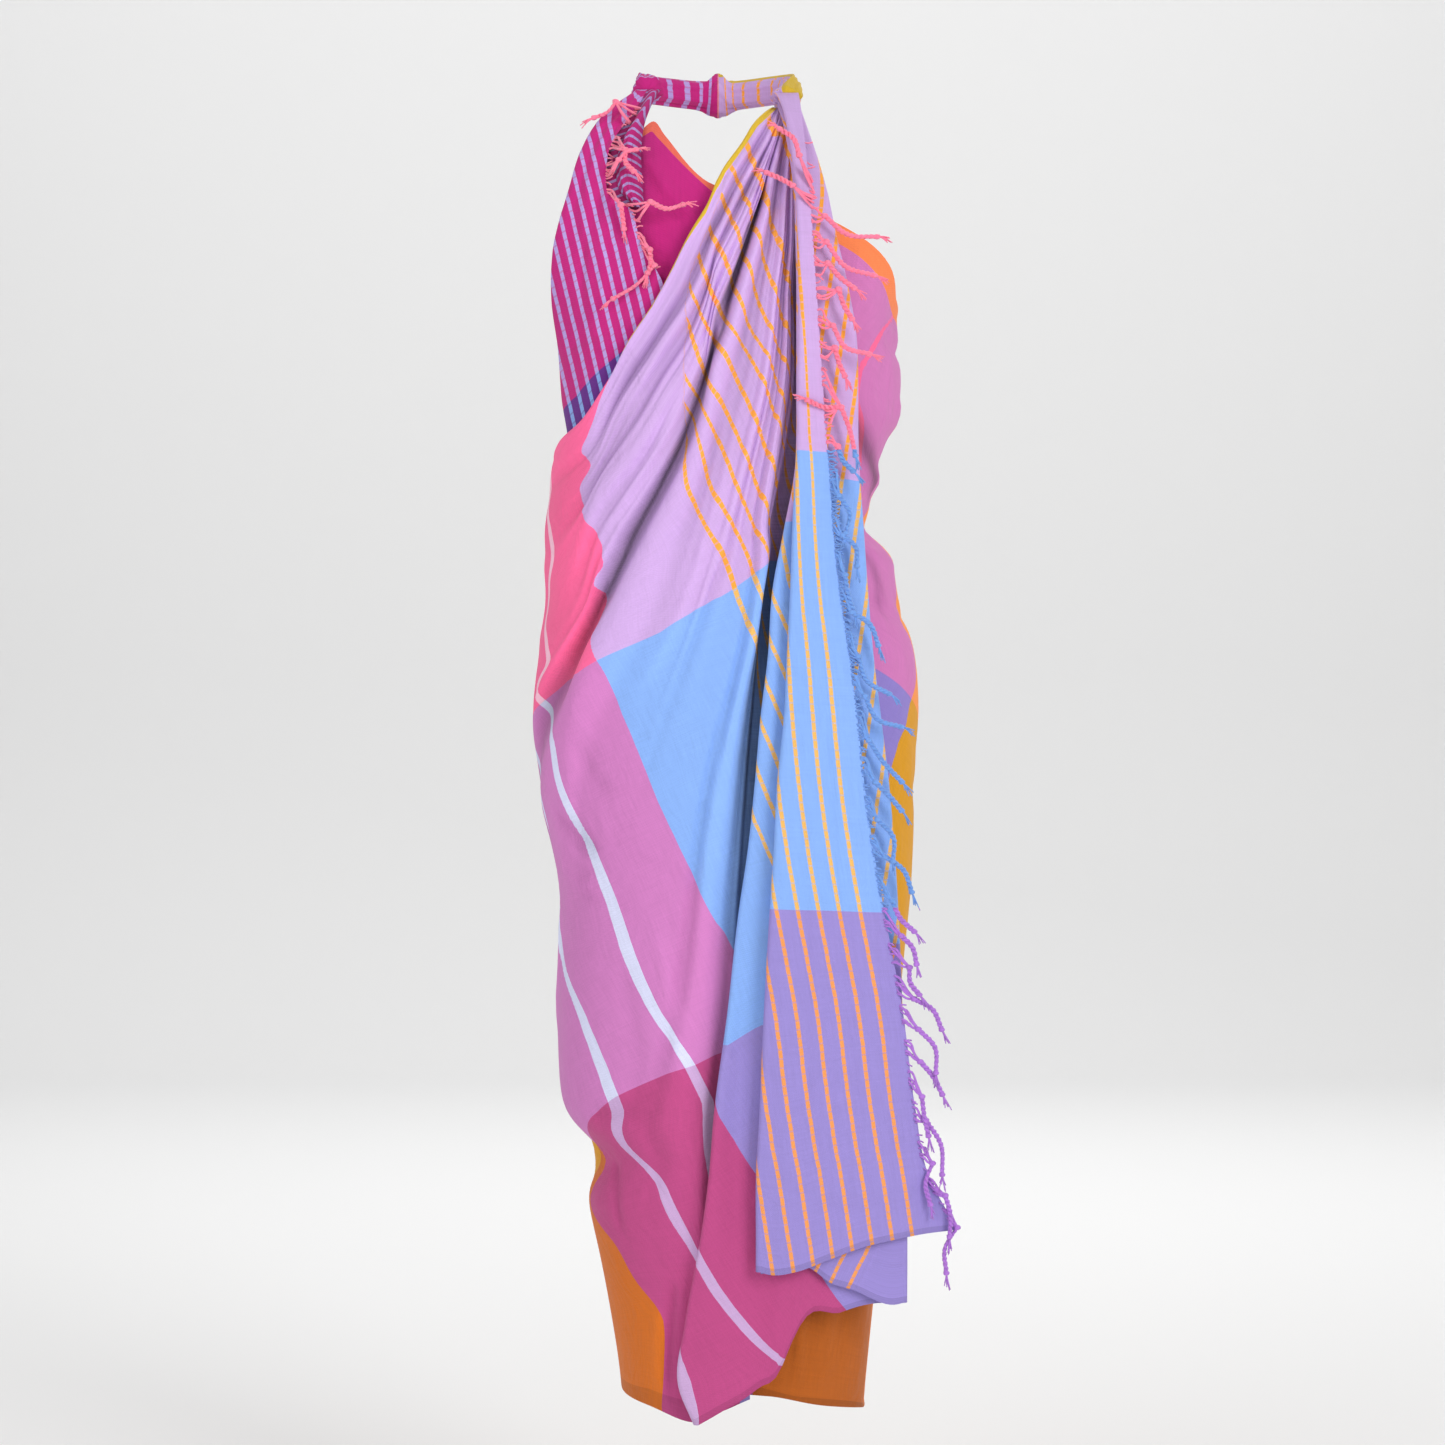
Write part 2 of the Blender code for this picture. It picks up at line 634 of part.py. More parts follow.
def strip_grid(left, right, hem, layer, curl_left, curl_right, flat_columns, rows):
    """Grid of one hanging strip, with a rounded fold at either edge turned back to the figure."""
    hem_height = curve([row[0] for row in hem], [row[1] * MM for row in hem])
    angles = np.radians([-90, -40, 0, 40])
    grid = []
    for down in np.linspace(0, 1, rows):
        shares = np.linspace(0, 1, flat_columns)
        height = STRIP_TOP + (hem_height(shares) - STRIP_TOP) * down
        start = left(height) + CURL_RADIUS
        width = right(height) - left(height) - 2 * CURL_RADIUS
        x = start + np.maximum(width, 2 * MM) * shares
        flat = np.stack([x, strip_depth(x, height, layer), height], axis=-1)
        row = list(flat)
        if curl_left:
            row = fold_edge(flat[0], angles, -1) + row
        if curl_right:
            row = row + fold_edge(flat[-1], angles, 1)[::-1]
        grid.append(row)
    return np.array(grid)


def fold_edge(edge_point, angles, side):
    """Half round turned back from an edge point, starting with its short return."""
    x, y, z = edge_point
    points = [(x - side * CURL_RETURN, y + 2 * CURL_RADIUS, z)]
    for angle in angles:
        out = side * CURL_RADIUS * math.cos(angle)
        back = CURL_RADIUS * (1 - math.sin(angle))
        points.append((x + out, y + back, z))
    return [np.array(point) for point in points]


def inset(edge, distance):
    """An edge curve moved to the right."""
    return lambda height: edge(height) + distance


def make_strips():
    """The pleat and the two strips of the tail, folded as a zigzag and gathered at the neck."""
    meets_return = CURL_RETURN + LONG_SEAM
    pleat = strip_grid(
        pleat_left, inset(fold_right, -meets_return), PLEAT_HEM, 0, True, False, 8, PLEAT_ROWS
    )
    pleat = gather(pleat, RIGHT_CAP, WHOLE_CAP, PLEAT_ON_CAP * CAP_LAYER, PLEAT_DRAWN_IN)
    cloth("front_pleat", pleat, BLUE)
    under = strip_grid(
        inset(tail_left, meets_return), fold_right, TAIL_UNDER_HEM, 1, False, True, 7, TAIL_ROWS
    )
    under = gather(under, RIGHT_CAP, WHOLE_CAP, TAIL_UNDER_ON_CAP * CAP_LAYER, TAIL_DRAWN_IN)
    cloth("tail_under", under, LILAC)
    front = strip_grid(
        tail_left, inset(tail_right, CURL_RADIUS), TAIL_FRONT_HEM, 2, True, False, 8, TAIL_ROWS
    )
    front = gather(front, RIGHT_CAP, WHOLE_CAP, TAIL_FRONT_ON_CAP * CAP_LAYER, TAIL_DRAWN_IN)
    cloth("tail_front", front, PERIWINKLE)
    return front


def make_lapel():
    """The folded-back inner end on the left of the chest, with its curl round the left fold."""
    across = np.linspace(0, 1, 9)
    place = fan(LAPEL_GUIDES, LAPEL_LIFT)
    curl = np.array([-90, -45, 0, 45, 90])
    rows = []
    for down in np.linspace(0, 1, 15):
        turn, height = place(across, down).T
        lift = LAPEL_LIFT + LAPEL_RIPPLE * np.sin(across * 14 + down * 3) * step(0, 0.2, across)
        flat = on_figure(turn, height, lift)
        edge_turn = np.full(len(curl), turn[0])
        round_lift = LAPEL_LIFT / 2 * (1 + np.sin(np.radians(curl)))
        fold = on_figure(edge_turn, np.full(len(curl), height[0]), round_lift)
        outward = fold[-1] - flat[1]
        outward = outward / np.linalg.norm(outward)
        fold = fold + outward * (LAPEL_LIFT / 2 * np.cos(np.radians(curl)))[:, None]
        start = fold[0] - outward * CURL_RETURN
        rows.append([start] + list(fold[:-1]) + list(flat))
    grid = gather(np.array(rows), LEFT_CAP, LAPEL_ON_CAP, 0, LAPEL_DRAWN_IN)
    cloth("lapel", grid, STRIPED)
    return grid


def make_roll():
    """The gathered roll between the lapel's fringed edge and the neck."""
    across = np.linspace(0, 1, 7)

    def lift(places, down):
        crest = ROLL_CREST * (1 - 0.6 * down) * step(0.05, 0.35, down)
        return ROLL_LIFT + crest * np.sin(math.pi * places)

    grid = fan_grid(ROLL_GUIDES, ROLL_LIFT, lift, across, np.linspace(0, 1, 9))
    cloth("lapel_roll", gather(grid, LEFT_CAP, ROLL_ON_CAP, 0, ROLL_DRAWN_IN), STRIPED)


def make_neck_tie():
    """The gathered top corners, tied behind the neck with a plain knot."""
    path = curve(range(len(TIE_PATH)), np.array(TIE_PATH) * MM)
    rings = 23
    sides = 12
    points = []
    for ring in range(rings):
        share = ring / (rings - 1)
        place = share * (len(TIE_PATH) - 1)
        middle = path(place)
        ahead = path(min(place + 0.05, len(TIE_PATH) - 1)) - path(max(place - 0.05, 0))
        if ring == 0:
            ahead = -RIGHT_CAP[1]
        if ring == rings - 1:
            ahead = LEFT_CAP[1]
        ahead = ahead / np.linalg.norm(ahead)
        wide = np.cross(ahead, (0, 0, 1))
        wide = wide / np.linalg.norm(wide)
        tall = np.cross(wide, ahead)
        swell = 1 + TIE_KNOT_SWELL * math.exp(-((share - 0.5) / 0.06) ** 2)
        at_end = float(step(0.12, 0, share) + step(0.88, 1, share))
        half_wide = TIE_HALF_THICK + (CAP_HALF_WIDTH + 2 * MM - TIE_HALF_THICK) * at_end
        half_tall = TIE_HALF_HEIGHT
        for side in range(sides):
            angle = 2 * math.pi * side / sides
            flute = 1 + TIE_FLUTE_DEPTH * math.sin(TIE_FLUTES * angle + 3 * share)
            reach = wide * half_wide * math.cos(angle) + tall * half_tall * math.sin(angle)
            points.append(middle + reach * flute * swell)
    faces = [tuple(range(sides))[::-1]]
    for ring in range(rings - 1):
        for side in range(sides):
            a = ring * sides + side
            b = ring * sides + (side + 1) % sides
            faces.append((a, b, b + sides, a + sides))
    last = (rings - 1) * sides
    faces.append(tuple(range(last, last + sides)))
    new_object("neck_tie", points, faces, STRIPED)


def strand_ring(middle, direction, half_tall, half_thick):
    """Four corners round a point of a strand: top front, bottom front, bottom back, top back."""
    direction = direction / np.linalg.norm(direction)
    deep = np.array([0.0, 1.0, 0.0])
    tall = np.cross(direction, deep)
    tall = tall / np.linalg.norm(tall)
    corners = ((1, -1), (-1, -1), (-1, 1), (1, 1))
    return [middle + tall * a * half_tall + deep * b * half_thick for a, b in corners]


def strand_rings(root, targets, sizes, lean, front_of):
    """Rings of a strand that leaves its root to the right and hangs in front of the cloth."""
    places = [root + np.array([ROOT_OUT, 0, 0])]
    for across, rise in targets:
        place = root + np.array([across, -lean, rise])
        place[1] = min(place[1], front_of(place[0], place[2]) - STRAND_CLEAR)
        places.append(place)
    rings = []
    for index, place in enumerate(places):
        before = places[index - 1] if index else root
        after = places[index + 1] if index + 1 < len(places) else place
        direction = (after - before) * np.array([1, 0, 1])
        rings.append(strand_ring(place, direction, sizes[index], sizes[index]))
    return rings


def tassel_roots(tassels):
    """Height, half height, targets and sizes of every strand: a knotted one and a short one each."""
    roots = []
    for row in tassels:
        height, knot_x, knot_z, tip_x, tip_z = [value * MM for value in row]
        middle = (knot_x + (tip_x - knot_x) * 0.55, knot_z + (tip_z - knot_z) * 0.45)
        rise = OVER_EDGE if knot_x < 0 else ()
        targets = rise + ((knot_x, knot_z), middle, (tip_x, tip_z))
        sizes = [STRAND_HALF] * (1 + len(rise)) + [KNOT_HALF, STRAND_HALF * 1.3, BRUSH_HALF]
        roots.append((height, ROOT_HALF, targets, sizes))
        end = (max(knot_x, SHORT_STRAND) * 0.7, max(knot_z, -SHORT_STRAND) * 0.5 - 2 * MM)
        roots.append((height - ROOT_APART, 0.6 * ROOT_HALF, (end,), [STRAND_HALF * 0.8] * 2))
    return roots


def backing_levels(roots, row_heights):
    """Heights down a backing, each with the strand that grows just below it, if any."""
    levels = []
    for height, half, targets, sizes in roots:
        levels += [(height + half, (targets, sizes)), (height - half, None)]
    top = levels[0][0] + 4 * MM
    low = levels[-1][0] - 3 * MM
    for height in row_heights:
        apart = min(abs(height - root[0]) - root[1] for root in roots)
        if low + 1 * MM < height < top - 1 * MM and apart > 1 * MM:
            levels.append((height, None))
    levels += [(top, None), (low, None)]
    return sorted(levels, key=lambda level: -level[0])


def edge_line(grid):
    """The right edge of a grid by height: its point and the way out of the cloth."""
    points = grid[:, -1]
    outward = points - grid[:, -2]

    def at(height):
        point = [np.interp(-height, -points[:, 2], points[:, axis]) for axis in range(3)]
        way = [np.interp(-height, -points[:, 2], outward[:, axis]) for axis in range(3)]
        return np.array(point), np.array(way) / np.linalg.norm(way)

    return at


def make_fringe(name, grid, tassels, lean, front_of, colour):
    """A narrow backing down a cloth's right edge with two strands to each tassel grown from it."""
    edge = edge_line(grid)
    levels = backing_levels(tassel_roots(tassels), grid[:, -1, 2])
    points = []
    for height, _ in levels:
        point, way = edge(height)
        front = np.array([way[1], -way[0], 0])
        front = front / np.linalg.norm(front) * BACKING / 2
        inner = point + way * FRINGE_SEAM
        outer = inner + way * BACKING
        points += [inner + front, outer + front, outer - front, inner - front]
    faces = [(0, 1, 2, 3)]
    for ring in range(len(levels) - 1):
        a = 4 * ring
        b = a + 4
        faces.append((a, b, b + 1, a + 1))
        faces.append((a + 2, b + 2, b + 3, a + 3))
        faces.append((a + 3, b + 3, b, a))
        previous = (a + 1, b + 1, b + 2, a + 2)
        if levels[ring][1]:
            targets, sizes = levels[ring][1]
            root = (points[a + 1] + points[b + 2]) / 2
            for corners in strand_rings(root, targets, sizes, lean, front_of):
                first = len(points)
                points += corners
                current = (first, first + 1, first + 2, first + 3)
                for side in range(4):
                    after = (side + 1) % 4
                    faces.append((previous[side], previous[after], current[after], current[side]))
                previous = current
        faces.append(previous)
    last = 4 * (len(levels) - 1)
    faces.append((last + 3, last + 2, last + 1, last))
    new_object(name, points, faces, colour)


def tail_front_at(x, height):
    """Depth of the front strip at a place."""
    return float(strip_depth(x, height, 2))


def lapel_at(x, height):
    """Depth of the lapel, or of the roll beside it, at a place."""
    lift = LAPEL_LIFT + LAPEL_RIPPLE if height < ROLL_FOOT else ROLL_LIFT + ROLL_CREST
    return float(on_figure(turn_at(x, height, lift), height, lift)[1])


def main():
    """Clears the scene and makes every piece."""
    for old in list(bpy.data.objects):
        bpy.data.objects.remove(old)
    make_under_front()
    make_right_side()
    make_back()
    make_main_panel()
    tail = make_strips()
    lapel = make_lapel()
    make_roll()
    make_neck_tie()
    make_fringe("tail_fringe", tail, TAIL_TASSELS, 2 * MM, tail_front_at, BLUE_YARN)
    make_fringe("lapel_fringe", lapel, LAPEL_TASSELS, 4 * MM, lapel_at, PINK_YARN)


main()
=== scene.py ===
"""Looks of the longyi sarong: every stretch of the cloth as a thin, finely folded shell.

The plaid is one procedural weave on a map in metres: along the cloth from its inner cut end, and
across it from its top selvedge. Lengths are in metres, +Z is up and the front faces -Y.
"""
import math

import bmesh
import bpy
import numpy as np
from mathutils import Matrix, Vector


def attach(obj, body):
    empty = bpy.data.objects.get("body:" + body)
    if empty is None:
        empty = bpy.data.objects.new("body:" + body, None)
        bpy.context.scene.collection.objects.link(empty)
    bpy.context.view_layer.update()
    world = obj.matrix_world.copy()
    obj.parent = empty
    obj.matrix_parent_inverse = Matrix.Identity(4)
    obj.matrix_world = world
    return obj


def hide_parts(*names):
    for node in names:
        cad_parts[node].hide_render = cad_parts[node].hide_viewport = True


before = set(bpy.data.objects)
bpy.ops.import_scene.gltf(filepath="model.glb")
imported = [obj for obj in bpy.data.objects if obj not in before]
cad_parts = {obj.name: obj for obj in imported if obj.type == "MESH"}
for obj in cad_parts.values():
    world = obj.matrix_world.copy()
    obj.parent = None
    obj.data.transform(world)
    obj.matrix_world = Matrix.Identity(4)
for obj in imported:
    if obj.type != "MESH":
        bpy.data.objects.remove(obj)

bl_info = {
    "name": "Longyi Sarong",
    "version": (1, 0, 0),
    "blender": (4, 5, 0),
    "location": "View3D > Sidebar > Sarong",
    "description": "Makes the cloth, tassels and stage of a neck-tied longyi sarong",
    "category": "Add Mesh",
}

# The weave. Bands of weft by the place along the cloth where they end, in metres from the inner
# cut end, with the colour that each makes on the pink, the blue and the purple warp
WEFT_BANDS = (
    (0.400, "#C6207F", "#6A2C8C", "#6B2A82"), (0.620, "#D67CBC", "#9482CE", "#8A58AC"),
    (1.050, "#FF9A48", "#DF9C18", "#D66F1C"), (1.285, "#FF689E", "#D07EC0", "#C04A86"),
    (1.910, "#CDA8E0", "#8AB2F4", "#9B8BD2"),
)
# Ends of the pink and the blue warp across the cloth, and its whole width
PINK_END = 0.390
BLUE_END = 0.825
WIDTH = 1.160
LENGTH = 1.910
# Border of gold and orange ends along the top selvedge: weft bands as above
BORDER_WIDTH = 0.017
BORDER_COLOURS = ("#EE6E5A", "#FF8A52", "#F0A02C", "#FF5A8C", "#D8B430")
# Stripes in the weft: first and last place along, spacing, width, and colour on each warp
LILAC_STRIPES = (-0.0588, 0.195, 0.0108, 0.0035, "#BBA2E2", "#8FB2F0", "#A890DA")
ROSE_STRIPE = (0.500, 0.500, 1.0, 0.0120, "#FF6E9E", "#E07AB8", "#C860A8")
PALE_STRIPES = (1.130, 1.200, 0.0700, 0.0108, "#FFC6DC", "#D9DBF7", "#CCA8D6")
ORANGE_STRIPES = (1.405, 1.880, 0.0190, 0.0037, "#FFAA40", "#F4BC66", "#F7A05A")
# Dashes of the thick stripes: their length, the share that the warp holds down and how far it fades
DASH_LENGTH = 0.0085
DASH_HELD = 0.20
DASH_FADE = 0.38
# How far the beaten weft wanders, and how its noise is stretched along and across the cloth
WANDER = 0.0011
WANDER_SCALE = (8, 60, 1)
SLUB_SCALES = ((22, 900, 1), (700, 26, 1))
RAMP_LENGTH = 2.0
HEM_BAND = 0.006
HEM_DARKER = 0.18
WEAVE_SHADE = 0.045
WEAVE_HEIGHT = 0.0003
WEAVE_BUMP = 0.3
WRINKLE_SCALE = (34, 22, 1)
WRINKLE_HEIGHT = 0.010
WRINKLE_DISTORTION = 0.7
WRINKLES = 0.30
# Surface of the cloth, of the yarn and of the backdrop card
PLAID_ROUGHNESS, PLAID_SHEEN = 0.86, 0.10
YARN_ROUGHNESS, YARN_SHEEN = 0.9, 0.35
COTTON_SPECULAR = 0.25
SHEEN_ROUGHNESS = 0.6
CARD_ROUGHNESS = 0.9
CARD_SPECULAR = 0.1
# Fuzz of the yarn: its scale, how much it varies and its darkest tone
FUZZ_SCALE = 260.0
FUZZ_RANGE, FUZZ_LEAST = 0.5, 0.75
# The lapel's cloth turns by an angle in degrees from the plumb line, and its cut edge lies here
LAPEL_SLANT = 13.5
LAPEL_EDGE = -0.101
# Heights between which the yarn's bands are placed
YARN_LOW, YARN_HIGH = -1.3, 0.1
# Heights in millimetres where the fringe changes from purple to blue and from blue to pink
YARN_CHANGES = (-767, -352)
# Short frayed ends: first and last height, their number and their reach, in millimetres
FRAYED_TAIL = ((-352, -560, 120, 10), (-560, -770, 50, 8), (-60, -352, 24, 8), (-770, -1050, 26, 8))
FRAYED_LAPEL = ((-20, -180, 26, 7),)
FINISHES = {
    "inner_plaid": "handwoven cotton plaid, inner end",
    "back_plaid": "handwoven cotton plaid, back",
    "outer_plaid": "handwoven cotton plaid, outer panel",
    "tail_plaid": "handwoven cotton plaid, hanging end",
    "lapel_plaid": "handwoven cotton plaid, lapel",
    "tail_yarn": "two-ply cotton yarn, hanging end",
    "lapel_yarn": "two-ply cotton yarn, lapel",
}

# Where those places lie on the worn cloth, in millimetres. A row holds the place along the cloth,
# its front points (x, height) and its points round the side (degrees, height)
MAIN_ALONG = (
    (1.050, ((-149, -956), (-106, -1005), (-121, -1045), (-97, -1082), (-82, -1108),
             (-52, -1148), (-52, -1191), (-54, -1226)),
     ((-122, -330), (-118, -400), (-112, -600), (-104, -800), (-96, -900))),
    (1.130, ((-147, -807), (-127, -865), (-100, -931), (-93, -952), (-87, -986), (-48, -1025),
             (-20, -1077), (0, -1110)),
     ((-112, -330), (-104, -450), (-94, -600), (-84, -650), (-77, -684), (-82, -716),
      (-85, -740))),
    (1.200, ((-146, -642), (-130, -689), (-117, -712), (-96, -761), (-78, -813),
             (-57, -858), (-24, -906), (-5, -943)),
     ((-87, -330), (-81, -394), (-72, -416), (-69, -440), (-79, -468), (-81, -496), (-71, -520),
      (-65, -540), (-75, -562), (-71, -580), (-62, -603), (-58, -618))),
    (1.285, ((-99, -282), (-119, -330), (-127, -346), (-119, -358), (-130, -379), (-126, -401),
             (-108, -433), (-107, -447), (-116, -469), (-113, -484), (-118, -507), (-116, -527),
             (-106, -547), (-92, -586), (-76, -623), (-58, -667), (-31, -723), (-14, -758),
             (11, -800), (24, -830)), ()),
    (1.405, ((-140, -150), (-80, -250), (-31, -336), (-28, -374), (4, -441), (21, -488),
             (28, -505), (60, -600)), ()),
    (1.462, ((-90, -100), (-50, -180), (-25, -237), (-12, -278), (1, -301), (16, -330),
             (36, -380), (51, -418), (90, -520)), ()),
    (1.500, ((-70, -60), (-40, -110), (-19, -166), (-3, -210), (8, -230), (29, -260), (61, -338),
             (100, -430)), ()),
    (1.576, ((10, -20), (25, -59), (39, -100), (48, -132), (57, -164), (68, -205),
             (90, -280)), ()),
)
# Fold where the striped part comes out from under the plain one, as front points (x, height)
STRIPES_START = ((58, -4), (40, -30), (9, -87), (0, -119), (-9, -142), (-19, -167), (-27, -192),
                 (-29, -237), (-32, -336), (-44, -374), (-70, -441))
STRIPES_AFTER = 1.392
# Top edge of the outer panel, and top edge and hem of the wrap behind, as on the guide lines below
PANEL_TOP = (((58, -4), (35, -36), (21, -61), (7, -82), (-11, -123), (-25, -147), (-40, -178),
              (-59, -214), (-81, -247), (-99, -281), (-123, -315)),
             ((-75, -333), (-95, -342), (-125, -338)))
WRAP_TOP = ((80, -196), (90, -203), (110, -215), (130, -228), (180, -268), (235, -338))
WRAP_HEM = ((80, -1243), (105, -1242), (130, -1238), (180, -1228), (235, -1215))
MAIN_ACROSS = (
    (0.000, *PANEL_TOP),
    (0.390, ((-177, -611), (-149, -566), (-126, -560), (-106, -548), (-53, -525), (2, -496),
             (25, -482), (47, -465), (72, -450)), ((-125, -700),)),
    (0.825, ((-149, -1025), (-106, -1000), (-93, -954), (-47, -931), (-20, -922), (20, -905),
             (60, -895)), ((-125, -1100),)),
    (1.160, ((-62, -1229), (-22, -1240), (30, -1219)), ((-125, -1215), (-76, -1226))),
)
WRAP_ALONG = (
    (0.020, (), ((-95, 0), (-88, -600), (-84, -1240))),
    (0.215, (), ((-66, 0), (-60, -600), (-58, -1240))),
    (0.400, ((96, -150), (100, -300), (104, -520), (60, -1000), (20, -1240)), ()),
    (0.500, ((156, -229), (142, -250), (129, -272), (126, -293), (133, -318),
             (132, -340), (120, -400), (108, -480), (92, -600), (76, -800), (-4, -1240)),
     ((92, -196), (84, -212))),
    (0.620, (), ((97, -200), (88, -330), (84, -380), (78, -420), (83, -455), (80, -480),
                 (77, -504), (83, -532), (79, -552), (66, -580), (54, -640),
                 (40, -760), (20, -1000), (3, -1200))),
    (1.050, (), ((238, -330), (242, -400), (248, -600), (256, -800), (266, -1240))),
)
WRAP_ACROSS = (
    (0.000, ((-88, -36), (-74, -44), (-60, -34), (-48, -50), (0, -100), (67, -117), (134, -147)),
     WRAP_TOP),
    (0.390, ((-74, -430), (0, -490)), ((60, -560), (80, -586), (130, -610), (180, -650), (235, -700))),
    (0.825, ((-74, -860), (0, -930)),
     ((60, -1008), (80, -1021), (130, -1040), (180, -1070), (235, -1100))),
    (1.160, ((-85, -1215), (0, -1216)), ((60, -1235), *WRAP_HEM)),
)
# The same for the hanging strips, whose rows hold (x, height) alone
PLEAT_ALONG = (
    (1.130, ((-70, -1100), (-39, -1183), (-26, -1231))),
    (1.200, ((-60, -1020), (-19, -1086), (1, -1120), (40, -1165), (67, -1185), (90, -1200))),
    (1.285, ((-64, -850), (-2, -960), (22, -999), (36, -1017), (104, -1123), (116, -1138))),
    (1.405, ((-282, 0), (-2, -600), (29, -676), (51, -726), (90, -800), (200, -980))),
    (1.700, ((44, 0), (324, -600), (600, -1190))),
)
UNDER_ALONG = (
    (1.863, ((86, -50), (-90, -1060), (-108, -1100), (-126, -1135))),
    (1.600, ((349, -50), (178, -1060), (160, -1100), (142, -1135))),
)
STRIP_TOP_LINE = (0.040, ((40, -20), (160, -20)))
PLEAT_ACROSS = (
    (0.040, ((40, -20), (100, -20))),
    (0.390, ((40, -420), (70, -412), (140, -400))),
    (0.825, ((-40, -920), (7, -891), (38, -872), (140, -850))),
)
UNDER_ACROSS = (
    STRIP_TOP_LINE,
    (0.390, ((60, -366), (130, -376))),
    (0.825, ((40, -780), (174, -800))),
)
FRONT_ACROSS = (
    STRIP_TOP_LINE,
    (0.390, ((60, -348), (120, -352))),
    (0.825, ((40, -764), (170, -770))),
)
LAPEL_ACROSS = (
    (0.110, ((-150, -30), (-60, -4))),
    (0.390, ((-147, -307), (-132, -292), (-120, -281), (-100, -264), (-88, -254), (-40, -214))),
)

MM = 0.001

# Cloth. Its wall and the seam beside it are those of the solids
WALL = 1.5 * MM
SEAM = 0.3 * MM
OUTER_LIFT = 14 * MM
LAPEL_LIFT = 6 * MM
LAPEL_RIPPLE = 1 * MM
CURL_RADIUS = 4 * MM
CURL_RETURN = 3 * MM

# Roundness of the figure's sections: 2 is an ellipse, more is squarer
SECTION_POWER = 2.3

# Hollow figure under the cloth, in millimetres: height, half width to the wearer's right (left in
# the front view) and half width to the wearer's left
GIRTH = (
    (20, 120, 120), (0, 150, 150), (-40, 180, 182), (-100, 188, 190), (-150, 182, 186),
    (-200, 165, 172), (-235, 156, 173), (-290, 146, 172), (-340, 137, 158), (-386, 146, 146),
    (-416, 150, 143), (-440, 149, 160), (-480, 147, 168), (-530, 156, 186), (-580, 161, 191),
    (-625, 159, 189), (-670, 154, 187), (-716, 143, 185), (-750, 137, 183), (-810, 135, 177),
    (-860, 137, 172), (-910, 137, 168), (-950, 134, 166), (-1006, 120, 162), (-1055, 108, 158),
    (-1103, 97, 152), (-1150, 88, 147), (-1200, 80, 142), (-1260, 74, 136),
)

# Where the cloth is tucked in over the left hip: height, half height on the outer panel and on the
# cloth under it, and depth, in millimetres, and the turns between which it fades out to the back
TUCK = (-1004, 27, 90, 25)
TUCK_FADE = (-122, -92)

# The same figure: height, depth in front of the side seams and depth behind them
DEPTH = (
    (20, 24, 60), (0, 31, 80), (-30, 48, 92), (-60, 64, 98), (-100, 82, 100), (-150, 96, 100),
    (-200, 103, 100), (-300, 105, 100), (-400, 103, 97), (-500, 105, 108), (-600, 110, 122),
    (-700, 111, 124), (-800, 108, 118), (-900, 103, 110), (-1000, 98, 102), (-1100, 92, 96),
    (-1200, 86, 90), (-1260, 83, 86),
)

# Guide lines run down each cloth from the tie or the top edge. A row holds its place across the
# piece (0 to 1), its front points (x, height) and its points round the side (degrees, height).
UNDER_FRONT_GUIDES = (
    (0.00, ((-88, -36), (-102, -52), (-117, -76), (-131, -116), (-142, -160)),
     ((-61, -205), (-64, -250), (-69, -310), (-74, -375), (-80, -430), (-84, -500), (-85, -650),
      (-85, -950), (-85, -1215))),
    (0.14, ((-74, -44), (-86, -76), (-104, -120), (-118, -180), (-125, -280), (-122, -450),
            (-125, -700), (-105, -950), (-66, -1218)), ()),
    (0.23, ((-60, -34), (-72, -84), (-86, -190), (-94, -400), (-98, -700), (-82, -1000),
            (-48, -1217)), ()),
    (0.32, ((-48, -50), (-58, -110), (-76, -200), (-84, -400), (-88, -700), (-72, -1000),
            (-40, -1216)), ()),
    (0.50, ((0, -100), (-4, -200), (-6, -400), (-6, -700), (-4, -1000), (0, -1216)), ()),
    (0.68, ((67, -117), (68, -240), (66, -450), (68, -700), (58, -1000), (46, -1219)), ()),
    (0.86, ((134, -147), (130, -260), (122, -450), (134, -700), (114, -1000), (92, -1230)), ()),
    (1.00, (), ((80, -196), (80, -330), (80, -550), (80, -800), (80, -1020), (80, -1243))),
)
MAIN_GUIDES = (
    (0.00, *PANEL_TOP),
    (0.25, ((63, -12), (44, -66), (24, -110), (4, -152), (-12, -200), (-28, -236), (-46, -262),
            (-66, -294), (-96, -340), (-128, -392)),
     ((-75, -432), (-95, -462), (-125, -480))),
    (0.50, ((66, -20), (53, -63), (38, -120), (21, -172), (4, -213), (-16, -297), (-60, -390),
            (-107, -475), (-142, -545)),
     ((-74, -600), (-94, -660), (-125, -720))),
    (0.72, ((69, -24), (62, -100), (51, -200), (34, -320), (2, -440), (-42, -560), (-86, -690),
            (-116, -820), (-124, -930)),
     ((-76, -1040), (-98, -1140), (-125, -1215))),
    (0.84, ((70, -26), (66, -100), (60, -200), (48, -320), (28, -450), (0, -580), (-30, -720),
            (-52, -860), (-66, -1000), (-70, -1120), (-62, -1229)), ()),
    (0.92, ((71, -27), (69, -100), (65, -200), (58, -320), (44, -450), (22, -580), (2, -720),
            (-12, -860), (-22, -1000), (-26, -1120), (-22, -1240)), ()),
    (1.00, ((72, -28), (72, -100), (72, -200), (71, -302), (62, -360), (50, -418), (43, -476),
            (37, -534), (32, -593), (27, -651), (23, -709), (20, -770), (20, -860), (24, -1000),
            (28, -1120), (30, -1219)), ()),
)
